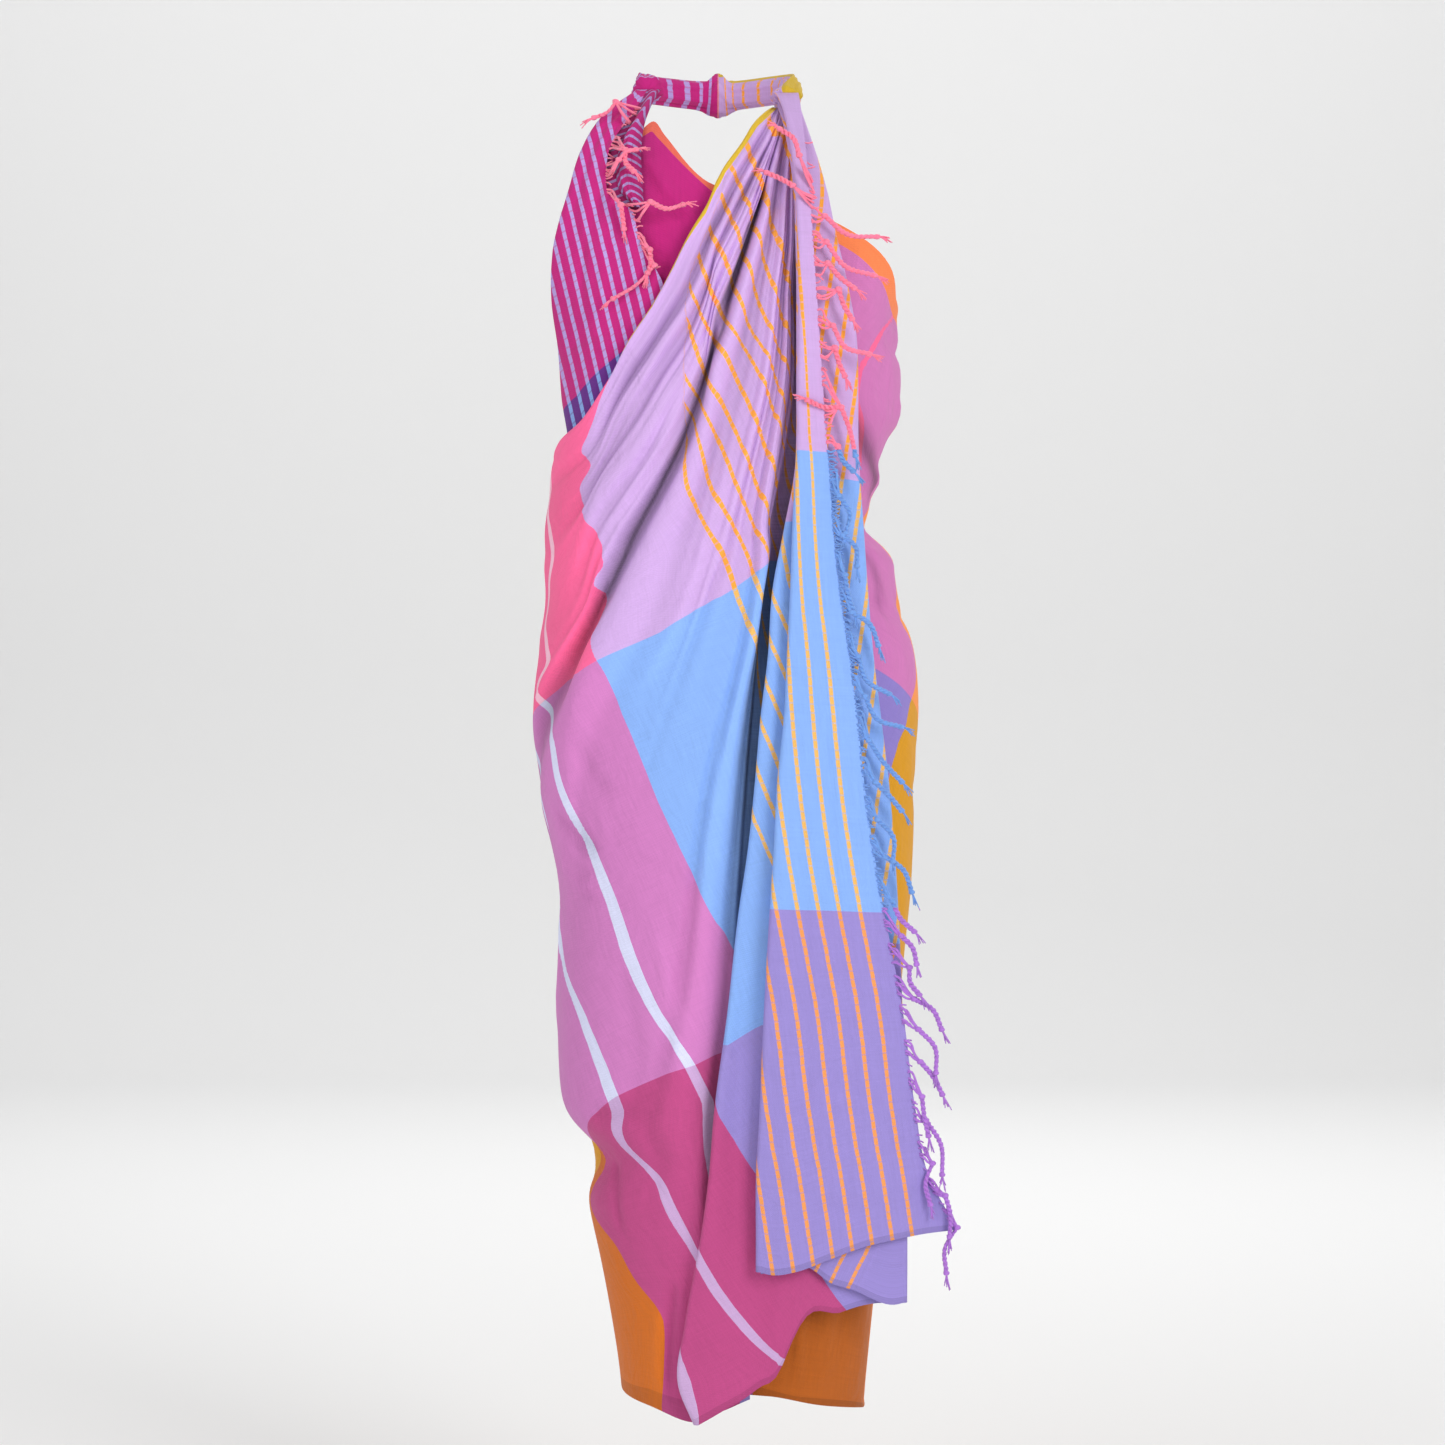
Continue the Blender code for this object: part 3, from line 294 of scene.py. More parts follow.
LAPEL_GUIDES = (
    (0.00, ((-66, 1), (-103, -24), (-126, -62), (-141, -112), (-153, -160)),
     ((-64, -205), (-68, -250), (-76, -310), (-82, -375))),
    (0.50, ((-68, -6), (-99, -38), (-115, -72), (-121, -112), (-116, -145), (-108, -172),
            (-100, -235), (-90, -322)), ()),
    (1.00, ((-70, -20), (-94, -48), (-103, -74), (-100, -107), (-79, -124), (-72, -151),
            (-61, -172), (-40, -215), (-22, -262)), ()),
)
ROLL_GUIDES = (
    (0.00, ((-67, -8), (-78, -34), (-90, -58), (-94, -80), (-91, -103), (-75, -120)), ()),
    (1.00, ((-60, -4), (-69, -40), (-71, -75), (-69, -105), (-68, -122)), ()),
)

# Folds of the outer panel that fan out from the tie: place across at the tie and at the far end,
# half width across, height in millimetres (a trough is negative), and the share of the length
# where it has grown, where it starts to fade and where it is gone
MAIN_FOLDS = (
    (0.05, 0.04, 0.07, 5, 0.10, 0.80, 1.00), (0.15, 0.13, 0.05, -3, 0.12, 0.45, 0.62),
    (0.20, 0.19, 0.05, 4, 0.12, 0.45, 0.62), (0.27, 0.27, 0.05, -4, 0.12, 0.60, 0.80),
    (0.36, 0.34, 0.08, 6, 0.12, 0.55, 0.85), (0.50, 0.50, 0.035, -11, 0.10, 0.72, 0.92),
    (0.56, 0.56, 0.05, 7, 0.10, 0.60, 0.85), (0.64, 0.62, 0.05, -5, 0.08, 0.20, 0.42),
    (0.73, 0.70, 0.06, 5, 0.08, 0.22, 0.50), (0.82, 0.80, 0.05, -3, 0.12, 0.20, 0.40),
    (0.90, 0.91, 0.05, 6, 0.35, 0.60, 0.90),
)

# Share of the length where every fold starts
FOLDS_START = 0.02

# Share across up to which the far end of the outer panel meets the back, and not the hem
MEETS_BACK = 0.72

# How far the outer panel turns in at the deep pleat, in millimetres, by its share of the length
SLOT_TURN_IN = ((0.00, 0), (0.03, 5), (0.07, 8), (0.24, 9), (0.50, 9), (0.62, 5), (0.72, 3), (1.00, 2))

# The three strips of the outer end, in millimetres: height, left edge of the pleat, left edge of
# the front strip, its fringed right edge, and the right edge of the strips behind it
STRIPS = (
    (-12, 60, 66, 76, 80), (-50, 66, 70, 80, 86), (-97, 70, 71, 83, 98), (-145, 71, 72, 86, 107),
    (-194, 72, 73, 89, 118), (-240, 72, 73, 92, 126), (-300, 72, 72, 96, 128),
    (-332, 72, 72, 98, 128), (-361, 71, 71, 101, 129), (-418, 61, 68, 105, 133),
    (-476, 50, 66, 111, 137), (-535, 46, 63, 120, 142), (-593, 39, 60, 127, 149),
    (-651, 34, 54, 133, 156), (-709, 28, 51, 141, 161), (-771, 19, 47, 152, 165),
    (-861, 9, 42, 169, 169), (-951, -3, 38, 181, 171), (-1011, -8, 35, 193, 173),
    (-1064, -15, 35, 219, 174), (-1148, -30, 35, 219, 174), (-1205, -36, 35, 219, 174),
    (-1240, -22, 35, 219, 174),
)

# Hems of the strips: share of the width, height
PLEAT_HEM = ((0, -1240), (0.13, -1228), (0.34, -1206), (0.45, -1186), (0.49, -1160),
             (0.71, -1138), (0.85, -1131), (1, -1131))
TAIL_UNDER_HEM = ((0, -1099), (0.33, -1093), (0.49, -1109), (0.64, -1116), (0.96, -1131), (1, -1130))
TAIL_FRONT_HEM = ((0, -1096), (0.04, -1098), (0.16, -1096), (0.34, -1086), (0.55, -1074),
                  (0.78, -1067), (1, -1063))

# How the strips hang: share of the figure's depth that they follow, distance from it, height of
# their top, how they lean back to the right, and their ripples
STRIP_HUG = 0.97
STRIP_STAND_OFF = 28 * MM
STRIP_TOP = -12 * MM
STRIP_LEAN = 0.25
STRIP_LEAN_FROM = 60 * MM
STRIP_RIPPLE = 2.0 * MM
RIPPLE_LENGTH = 80 * MM
RIPPLE_DRIFT = 4
RIPPLE_HEIGHTS = (-0.15, -0.6)

# Turns in degrees where the right side, the back and the outer panel's far end start
RIGHT_TURN, BACK_TURN, LEFT_TURN = 80, 130, 235
BACK_RIPPLE = 3 * MM
# Degrees before it starts to rise, ripples in a turn, degrees in which they fade, and their heights
BACK_LEVEL = 30
BACK_RIPPLES = 9
BACK_EDGE = 15
BACK_RIPPLE_HEIGHTS = (-0.5, -1.1)

# Hollows gathered down the right side: turn, height, half width in degrees, half height, depth
SIDE_HOLLOWS = (
    (76, -215, 16, 40, 5), (88, -360, 22, 34, 4), (90, -480, 24, 40, -4), (104, -560, 22, 90, 3),
)

# Neck tie: the path of its middle, in millimetres, its half height, half thickness and flutes
TIE_PATH = (
    (64, -33, -10), (71, -6, 4), (60, 34, 12), (24, 62, 13), (0, 67, 12), (-24, 62, 13),
    (-60, 34, 12), (-71, -2, 8), (-66, -20, 2),
)
TIE_HALF_HEIGHT = 13 * MM
TIE_HALF_THICK = 8 * MM
TIE_KNOT_SWELL = 0.55
TIE_FLUTES = 5
TIE_FLUTE_DEPTH = 0.09
NECK_RIGHT_CAP = (64, -33, -10)
NECK_LEFT_CAP = (-66, -20, 2)
# Degrees by which its ends face down
RIGHT_CAP_DROP, LEFT_CAP_DROP = 42, 35
CAP_HALF_WIDTH = 12 * MM
CAP_LAYER = 3.5 * MM
WHOLE_CAP = (0.02, 0.98)
LAPEL_ON_CAP = (0.00, 0.46)
ROLL_ON_CAP = (0.54, 1.00)
ROLL_LIFT = 3 * MM
ROLL_CREST = 11 * MM
ROLL_FOOT = -128 * MM

# Knotted tassels of the tail: height of the root, then the knot and the tip from it (x, height)
TAIL_TASSELS = (
    (-104, -9, 26, -27, 50), (-119, -16, 12, -40, 24), (-134, 12, -1, 60, -20),
    (-156, 12, -3, 56, -34), (-180, 12, 1, 36, -22), (-206, 20, 3, 32, -24),
    (-230, 13, -6, 46, -32), (-258, 13, 2, 22, -24), (-284, 17, -26, 30, -70),
    (-316, 12, 6, -16, 12), (-342, 10, -3, 24, -26), (-376, 8, -14, 14, -48),
    (-412, 9, -14, 22, -42), (-446, 8, -16, 16, -50), (-482, 10, -14, 34, -44),
    (-520, 10, -16, 38, -50), (-556, 11, -16, 44, -44), (-594, 10, -18, 40, -56),
    (-632, 12, -18, 36, -44), (-668, 10, -16, 24, -54), (-704, 12, -14, 36, -46),
    (-742, 12, -16, 32, -44), (-776, 14, -14, 28, -40), (-806, 16, -13, 25, -38),
    (-834, 15, -14, 40, -42), (-862, 14, -14, 30, -54), (-892, 12, -14, 32, -44),
    (-922, 10, -16, 16, -52), (-954, 9, -6, 24, -56), (-988, 10, -12, 8, -50),
    (-1020, 12, -10, 16, -48), (-1048, 8, -12, -2, -54),
)

# Tassels of the lapel, named the same way
LAPEL_TASSELS = (
    (-30, -12, 14, -32, -2), (-58, 14, -8, 22, -30), (-84, 12, 8, 28, 18), (-110, 9, -10, 12, -32),
    (-127, 16, 9, 46, 6), (-150, 10, -12, 8, -34), (-163, 8, -14, -30, -44),
)


def steady_slopes(knots, values):
    """Slopes at the knots that keep a curve between its neighbouring values."""
    rise = (np.diff(values, axis=0).T / np.diff(knots)).T
    before, after = rise[:-1], rise[1:]
    same_way = before * after > 0
    total = np.where(same_way, before + after, 1)
    inner = np.where(same_way, 2 * before * after / total, 0)
    return np.concatenate([rise[:1], inner, rise[-1:]])


def curve(knots, values, steady=False):
    """The smooth curve through values at the knots, as a function of the place between them."""
    knots = np.asarray(knots, float)
    values = np.asarray(values, float)
    slopes = steady_slopes(knots, values) if steady else np.gradient(values, knots, axis=0)

    def at(place):
        place = np.asarray(place, float)
        index = np.clip(np.searchsorted(knots, place) - 1, 0, len(knots) - 2)
        width = knots[index + 1] - knots[index]
        share = np.clip((place - knots[index]) / width, 0, 1)
        if values.ndim == 2:
            width = width[..., None]
            share = share[..., None]
        start = (1 + 2 * share) * (1 - share) ** 2 * values[index]
        end = share ** 2 * (3 - 2 * share) * values[index + 1]
        leave = share * (1 - share) ** 2 * width * slopes[index]
        arrive = share ** 2 * (share - 1) * width * slopes[index + 1]
        return start + end + leave + arrive

    return at


def table_curve(rows, column):
    """A curve of one column of a table against its first column, both in metres."""
    rows = sorted(rows)
    return curve([row[0] * MM for row in rows], [row[column] * MM for row in rows])


def knot_curve(rows):
    """The curve through rows of a place and millimetres."""
    return curve([row[0] for row in rows], [row[1] * MM for row in rows])


def step(start, end, place):
    """0 before start, 1 after end, and smooth between them."""
    share = np.clip((np.asarray(place, float) - start) / (end - start), 0, 1)
    return share * share * (3 - 2 * share)


def steps_along(points):
    """Length of each step along a row of points."""
    return np.linalg.norm(np.diff(points, axis=0), axis=1)


def run_along(points):
    """Distance of each point of a row from its first."""
    return np.concatenate([[0], np.cumsum(steps_along(points))])


left_half = table_curve(GIRTH, 1)
right_half = table_curve(GIRTH, 2)
front_depth = table_curve(DEPTH, 1)
back_depth = table_curve(DEPTH, 2)
pleat_left = table_curve(STRIPS, 1)
tail_left = table_curve(STRIPS, 2)
tail_right = table_curve(STRIPS, 3)
fold_right = table_curve(STRIPS, 4)


def tuck(turn, height, lift):
    """How far the left side is tucked in."""
    middle, outer_half, inner_half, depth = TUCK
    half_height = np.where(np.asarray(lift) > LAPEL_LIFT + LAPEL_RIPPLE, outer_half, inner_half)
    near = np.exp(-((height / MM - middle) / half_height) ** 2)
    return depth * MM * near * step(TUCK_FADE[0], TUCK_FADE[1], turn)


def on_figure(turn, height, lift):
    """Points round the figure: turn in degrees from the front middle, plus to the right."""
    turn = np.mod(np.asarray(turn, float) + 180, 360) - 180
    height = np.asarray(height, float)
    left = left_half(height) - tuck(turn, height, lift)
    turn = np.radians(turn)
    across = np.sin(turn)
    ahead = np.cos(turn)
    half = np.where(across < 0, left, right_half(height)) + lift
    deep = np.where(ahead > 0, front_depth(height), back_depth(height)) + lift
    x = half * np.sign(across) * np.abs(across) ** (2 / SECTION_POWER)
    y = -deep * np.sign(ahead) * np.abs(ahead) ** (2 / SECTION_POWER)
    return np.stack([x, y, height + 0 * x], axis=-1)


def turn_at(x, height, lift):
    """Turn in degrees of a front point that is seen at x."""
    half = (left_half(height) - tuck(0, height, lift) if x < 0 else right_half(height)) + lift
    share = min(abs(x) / float(half), 1) ** (SECTION_POWER / 2)
    return math.copysign(math.degrees(math.asin(share)), x)


def line_of(front, side=(), lift=0.0, as_turn=True):
    """A listed line as turns, or x, and heights, in degrees and metres."""
    if as_turn:
        places = [(turn_at(x * MM, z * MM, lift), z * MM) for x, z in front]
        places += [(turn, z * MM) for turn, z in side]
    else:
        places = [(x * MM, z * MM) for x, z in front]
    return np.array(places)


def guide_line(front, side, lift):
    """A guide's turn and height as a curve of its share of the length."""
    places = line_of(front, side, lift)
    reached = run_along(on_figure(places[:, 0], places[:, 1], lift))
    return curve(reached / reached[-1], places)


def fan(guides, lift):
    """A function that gives turn and height on a piece from its share across and down."""
    across = [row[0] for row in guides]
    lines = [guide_line(row[1], row[2], lift) for row in guides]

    def at(places_across, down):
        return curve(across, [line(down) for line in lines], steady=True)(places_across)

    return at


def fold_height(folds, places_across, down):
    """Height of all folds of a table at one share of the length."""
    total = 0 * np.asarray(places_across, float)
    for start, end, half, height, grown, fades, gone in folds:
        middle = start + (end - start) * down
        reach = np.clip(np.abs(places_across - middle) / half, 0, 1)
        shape = 0.5 + 0.5 * np.cos(math.pi * reach)
        strength = step(FOLDS_START, grown, down) * (1 - step(fades, gone, down))
        total = total + height * MM * shape * strength
    return total


def cap_frame(middle, drop):
    """Origin, facing, across and layer directions of an end of the neck tie."""
    facing = np.array([0, -math.cos(drop), -math.sin(drop)])
    layer = np.array([0, -math.sin(drop), math.cos(drop)])
    return np.array(middle) * MM, facing, np.array([1.0, 0, 0]), layer


RIGHT_CAP = cap_frame(NECK_RIGHT_CAP, math.radians(RIGHT_CAP_DROP))
LEFT_CAP = cap_frame(NECK_LEFT_CAP, math.radians(LEFT_CAP_DROP))


def on_cap(cap, shares, layer_place):
    """A row of points just off an end of the tie, from its left to its right."""
    middle, facing, across, layer = cap
    shares = np.asarray(shares, float)[:, None]
    side = (2 * shares - 1) * CAP_HALF_WIDTH
    start = middle + facing * (SEAM + WALL / 2) + layer * layer_place
    return start + across * side


def gather(points, cap, span, layer_place, reach):
    """Draws the top rows of a grid in to a span of an end of the tie, over a share of the rows."""
    rows, columns = points.shape[:2]
    row_on_cap = on_cap(cap, np.linspace(span[0], span[1], columns), layer_place)
    for row in range(rows):
        weight = 1 - step(0, reach, row / (rows - 1))
        points[row] = points[row] * (1 - weight) + row_on_cap * weight
    return points


def on_column(column, heights):
    """Points of a column of a grid at the given heights."""
    x = np.interp(-heights, -column[:, 2], column[:, 0])
    y = np.interp(-heights, -column[:, 2], column[:, 1])
    return np.stack([x, y, heights], axis=-1)


def side_lift(turn, height):
    """Lift of the wrap down the right side, which has hollows gathered in it."""
    total = 0 * np.asarray(turn, float)
    for middle, middle_height, half, half_height, depth in SIDE_HOLLOWS:
        near = ((turn - middle) / half) ** 2 + ((height / MM - middle_height) / half_height) ** 2
        total = total - depth * MM * np.exp(-near)
    return total


def back_lift(turns, height):
    """Lift of the wrap across the back: it rises to the outer layer and ripples lower down."""
    rise = OUTER_LIFT * step(BACK_TURN + BACK_LEVEL, LEFT_TURN, turns)
    ripple = BACK_RIPPLE * np.sin(np.radians((turns - BACK_TURN) * BACK_RIPPLES))
    away = step(BACK_TURN, BACK_TURN + BACK_EDGE, turns) * step(LEFT_TURN, LEFT_TURN - BACK_EDGE, turns)
    return rise + ripple * away * step(*BACK_RIPPLE_HEIGHTS, height)


def strip_depth(x, height, layer):
    """How far a strip of the tail hangs in front of the figure's side seams."""
    stand = STRIP_HUG * front_depth(height) + STRIP_STAND_OFF + layer * 2 * CURL_RADIUS
    lean = STRIP_LEAN * np.maximum(x - STRIP_LEAN_FROM, 0)
    ripple = STRIP_RIPPLE * np.sin(2 * math.pi * x / RIPPLE_LENGTH + RIPPLE_DRIFT * height)
    return -(stand - lean + ripple * step(*RIPPLE_HEIGHTS, height))


def fold_edge(edge_point, angles, side):
    """Half round turned back from an edge point, starting with its short return."""
    x, y, z = edge_point
    points = [(x - side * CURL_RETURN, y + 2 * CURL_RADIUS, z)]
    for angle in angles:
        out = side * CURL_RADIUS * math.cos(angle)
        back = CURL_RADIUS * (1 - math.sin(angle))
        points.append((x + out, y + back, z))
    return [np.array(point) for point in points]


# Shells, in rows down and columns across
CLOTH_ROWS = 190
MAIN_COLUMNS = 200
MAIN_PANEL_ROWS = 226
FRONT_COLUMNS = 70
SIDE_COLUMNS = 26
BACK_COLUMNS = 64
STRIP_ROWS = 170
STRIP_COLUMNS = 34
LAPEL_ROWS = 90
LAPEL_COLUMNS = 44
ROLL_ROWS = 60
ROLL_COLUMNS = 26
CURL_STEPS = 9
SLOT_RETURN_COLUMNS = 8

# Creases: the shares of their length in which they grow and fade, and a distance beyond all of them
CREASE_FADES = (0.22, 0.72)
FAR_AWAY = 9.0
# Length of cloth in a degree beyond the last line of a table, and least gap between two lines
PER_DEGREE = 2.6 * MM
LEAST_GAP = 1e-4
# Half width of the roll at a selvedge, how much cloth turns under at the neck and between which turns
ROLLED_HALF = 0.004
NECK_EDGE_UNDER = 8 * MM
NECK_EDGE_TURNS = (30, 5)
CRISP_ANGLE = 60

# Chest: share across where it takes up the side's hollows, shadow under the tip of the tail (how
# dark, its x and its heights) and beside the roll (how dark, its middle, half width and heights)
SIDE_LIFT_SHARES = (0.8, 1.0)
UNDER_TAIL = (0.28, (-0.03, 0.03), (-1.06, -1.12))
BY_ROLL = (0.30, -0.076, 0.014, (-0.30, -0.24))

# Outer panel. The selvedge is turned under, most of it below the neck
EDGE_TURNED_UNDER = 14 * MM
UNDER_AT_NECK = 0.72
UNDER_HEIGHTS = (-0.12, -0.17)
# Shares of the length or width where creases grow and end, the selvedge's roll grows and the panel
# turns in at the pleat, and the least lift
CREASES_GROW, CREASES_END = (0.03, 0.12), (1.0, 0.93)
ROLL_GROWS = (0.02, 0.1)
TURNS_IN = (0.94, 1.0)
LEAST_LIFT = 2.4 * MM
# Where it lies on the tie's end, and the share of its length in which it is drawn in
MAIN_LAYER, MAIN_DRAWN = -2.9, 0.10
# Painted shade of the hollows: for each metre of depth, its limits (below nought a painted highlight on
# ridges), how much more near the tie, the thin painted line of shadow in the deepest fold (half width
# and how dark) and the darkest of all
PAINTED_FOLD_SHADE = 38
PAINTED_SHADE_LEAST, PAINTED_SHADE_MOST = -0.09, 0.48
NEAR_TIE = (0.5, (0.4, 0.05))
CREASE_LINE = (2.5, 0.42)
DARKEST_PAINTED_SHADE = 0.78
# Shadow beside the pleat: how dark, its shares across, and its heights at both ends
BESIDE_PLEAT = (0.46, (0.90, 0.99), (-0.42, -0.58), (-1.10, -0.98))
# Return into the slot: length, depth, how far it bows, where it grows and ends, and its shading
SLOT_RETURN = 34 * MM
SLOT_RETURN_DEEP = 3.2 * MM
SLOT_BOW = 0.2
SLOT_GROWS, SLOT_ENDS = (0.05, 0.15), (0.97, 0.80)
SLOT_SHADES = (0.6, 0.93)

# Strips: least width, degrees of the fold at an edge, and where creases grow
LEAST_STRIP = 2 * MM
CURL_ANGLES = (-90, 60)
STRIP_CREASES_GROW = (0.04, 0.15)
# Outer end: the width of its own selvedge, how much more it is gathered near the neck, the height
# where its last corner swings out, and how its woven lines lean there
END_SELVEDGE = 0.008
END_GATHER = (0.6, (-0.62, -0.2))
CORNER_HEIGHT = -1.0
WOVEN_LEAN = 0.16
# The middle strip's last stripe keeps its place along the cloth below this height
LAST_STRIPE = (-1.05, 1.6235)

# Lapel: waves across and down, shares where they grow, the column that its fold looks at, and the
# places along the cloth of its turned edge
LAPEL_WAVES = (14, 3)
LAPEL_WAVES_GROW = (0, 0.2)
LAPEL_INNER_COLUMN = 3
LAPEL_TURNED = (0.012, 0.001)
LAPEL_DRAWN = 0.14

# Roll: its crest and flutes, the hidden columns under the lapel, its places on the cloth and shading
ROLL_TAPER = 0.6
ROLL_CREST_GROWS = (0.05, 0.35)
ROLL_FLUTES = 26
ROLL_FLUTE_HEIGHT = 0.7 * MM
ROLL_FLUTES_GROW = (0.1, 0.4)
ROLL_DRAWN = 0.30
ROLL_UNDER_LAPEL = 10 * MM
ROLL_UNDER_WAY = (-1, 0.25, 0)
ROLL_UNDER_SHARES = (1, 0.6, 0.3)
ROLL_HIDDEN_PLACES = (-0.12, -0.08, -0.04)
ROLL_ALONG = (0.004, 0.165, 0.012)
ROLL_ACROSS = (0.05, 0.05)
ROLL_SHADES = (0.10, 0.34)

# Fine folds of the outer panel, in the same columns as its large ones
MAIN_FINE_FOLDS = (
    (0.010, 0.010, 0.017, 1.6, 0.04, 0.90, 1.00), (0.040, 0.050, 0.023, -1.8, 0.05, 0.55, 0.85),
    (0.085, 0.080, 0.026, 2.2, 0.05, 0.50, 0.80), (0.120, 0.115, 0.020, -2.0, 0.05, 0.60, 0.85),
    (0.175, 0.165, 0.023, 2.2, 0.06, 0.55, 0.75), (0.235, 0.230, 0.023, -2.6, 0.05, 0.60, 0.80),
    (0.300, 0.290, 0.026, 2.8, 0.06, 0.62, 0.85), (0.330, 0.322, 0.017, -1.8, 0.06, 0.35, 0.60),
    (0.395, 0.385, 0.023, -2.4, 0.05, 0.50, 0.75), (0.430, 0.432, 0.020, 2.6, 0.05, 0.55, 0.80),
    (0.472, 0.474, 0.020, 3.4, 0.06, 0.70, 0.90), (0.520, 0.524, 0.017, -2.6, 0.06, 0.66, 0.86),
    (0.600, 0.596, 0.020, -2.2, 0.05, 0.34, 0.55), (0.650, 0.640, 0.020, 2.2, 0.05, 0.30, 0.55),
    (0.690, 0.672, 0.020, -2.4, 0.05, 0.28, 0.52), (0.760, 0.744, 0.020, -2.2, 0.05, 0.34, 0.60),
    (0.790, 0.780, 0.020, 2.0, 0.05, 0.30, 0.52), (0.860, 0.866, 0.023, -2.8, 0.08, 0.70, 0.92),
    (0.885, 0.890, 0.017, 1.8, 0.08, 0.50, 0.80), (0.955, 0.958, 0.023, -2.6, 0.10, 0.85, 1.00),
    (0.985, 0.985, 0.020, 2.6, 0.06, 0.92, 1.00),
)
# Creases, given one by one: half width and height in millimetres, front points (x, height) and
# points round the side (degrees, height)
MAIN_CREASES = (
    (5, -8.5, ((66, -60), (30, -141), (5, -237), (-12, -274), (-32, -329), (-62, -388), (-94, -447),
               (-117, -489), (-149, -562)), ()),
    (6, 4.0, ((58, -70), (22, -141), (-4, -232), (-22, -270), (-44, -320), (-74, -378), (-106, -436),
              (-130, -480)), ()),
    (8, -4.4, ((56, -64), (2, -132), (-48, -219), (-94, -297), (-121, -347)), ()),
    (5, 2.4, ((60, -72), (16, -140), (-30, -222), (-76, -305), (-112, -366)), ()),
    (5, -2.4, ((66, -73), (52, -120), (38, -173), (24, -236), (14, -290)), ()),
    (6, 2.2, ((69, -90), (58, -160), (46, -240), (34, -320)), ()),
    (9, -2.4, ((10, -300), (-20, -390), (-60, -470), (-104, -540)), ()),
    (9, 2.2, ((22, -330), (-4, -430), (-44, -520), (-90, -600)), ()),
    (8, -2.0, ((-136, -600), (-118, -640), (-92, -672)), ()),
    (7, -3.0, ((-152, -676), (-132, -700), (-104, -716)), ()),
    (7, 2.0, ((-150, -716), (-128, -742), (-100, -752)), ()),
    (8, -2.4, ((-120, -960), (-96, -958), (-66, -948)), ()),
    (6, -2.6, ((-100, -1000), (-94, -1036), (-86, -1074)), ()),
    (10, 2.6, ((-53, -1130), (-56, -1180), (-56, -1232)), ()),
    (7, -3.4, ((-40, -1100), (-44, -1160), (-46, -1232)), ()),
    (10, -2.6, ((10, -900), (6, -1020), (2, -1130), (-2, -1230)), ()),
    (9, 2.4, ((-12, -1000), (-16, -1110), (-18, -1230)), ()),
    (9, 2.0, ((-60, -760), (-40, -860), (-26, -960)), ()),
    (10, -1.6, ((-90, -800), (-72, -900), (-56, -1000)), ()),
    (5, -2.2, ((-17, -1139), (4, -1150), (28, -1168)), ()),
    (5, 1.8, ((-20, -1152), (2, -1164), (24, -1182)), ()),
    (6, -2.2, ((22, -1084), (46, -1098), (70, -1118)), ()),
    (5, -1.8, ((6, -1170), (24, -1178), (42, -1190)), ()),
    (9, -2.6, (), ((-84, -500), (-88, -560), (-96, -640))),
    (9, 2.4, (), ((-82, -430), (-88, -480), (-98, -540))),
    (9, -2.8, (), ((-80, -680), (-86, -740), (-94, -820))),
    (9, 2.6, (), ((-78, -760), (-84, -830), (-92, -900))),
)
BACK_CREASES = (
    (17, -6.8, (), ((96, -300), (120, -420), (150, -560), (182, -700), (206, -840))),
    (14, 5.1, (), ((92, -350), (116, -480), (146, -640), (176, -800), (196, -960))),
    (13, -5.8, (), ((100, -460), (126, -620), (152, -800), (168, -1000), (172, -1220))),
    (13, 5.1, (), ((86, -470), (104, -640), (126, -860), (138, -1060), (140, -1230))),
    (12, -5.1, (), ((84, -560), (94, -760), (106, -980), (110, -1230))),
    (16, -5.1, (), ((150, -270), (176, -380), (204, -500), (232, -620))),
    (13, 4.4, (), ((130, -262), (160, -400), (196, -560), (228, -720))),
    (13, -4.4, (), ((190, -290), (210, -350), (234, -420))),
    (16, 5.1, (), ((188, -860), (196, -1010), (198, -1224))),
    (14, -5.4, (), ((214, -780), (220, -980), (222, -1210))),
    (9, -4.1, (), ((76, -228), (90, -246), (108, -252))),
    (9, 4.1, (), ((74, -290), (90, -312), (112, -318))),
    (9, 3.6, (), ((74, -352), (88, -370), (108, -376))),
    (8, -3.5, (), ((72, -394), (86, -410), (108, -416))),
    (8, 3.0, (), ((74, -420), (88, -436), (110, -448))),
    (8, -3.0, (), ((72, -470), (84, -492), (104, -516))),
    (9, -2.4, (), ((74, -640), (88, -676), (106, -730))),
    (9, -2.2, (), ((76, -1060), (84, -1140), (86, -1238))),
)
FRONT_CREASES = (
    (4, 2.0, ((-76, -52), (-62, -78), (-44, -106), (-20, -132), (10, -150)), ()),
    (5, -2.4, ((-74, -66), (-62, -96), (-44, -126), (-20, -152), (6, -170)), ()),
    (7, -2.0, ((-66, -90), (-50, -150), (-40, -220)), ()),
    (6, -2.4, ((60, -1000), (52, -1120), (48, -1226)), ()),
    (7, 2.4, ((86, -1000), (78, -1120), (72, -1230)), ()),
    (7, -2.6, ((128, -1020), (118, -1130), (108, -1238)), ()),
    (6, 2.0, ((146, -1020), (136, -1130), (128, -1238)), ()),
    (7, -2.4, (), ((62, -228), (74, -246), (90, -250))),
    (7, 2.4, (), ((56, -300), (70, -312), (90, -316))),
    (9, 4.6, (), ((50, -350), (66, -366), (92, -374))),
    (8, -3.0, (), ((50, -392), (66, -410), (90, -416))),
    (8, 2.8, (), ((50, -420), (66, -438), (92, -448))),
    (8, -3.0, (), ((48, -476), (62, -492), (88, -506))),
    (9, 2.0, (), ((56, -560), (68, -620), (74, -700))),
    (9, -2.2, (), ((60, -700), (68, -800), (70, -940))),
)
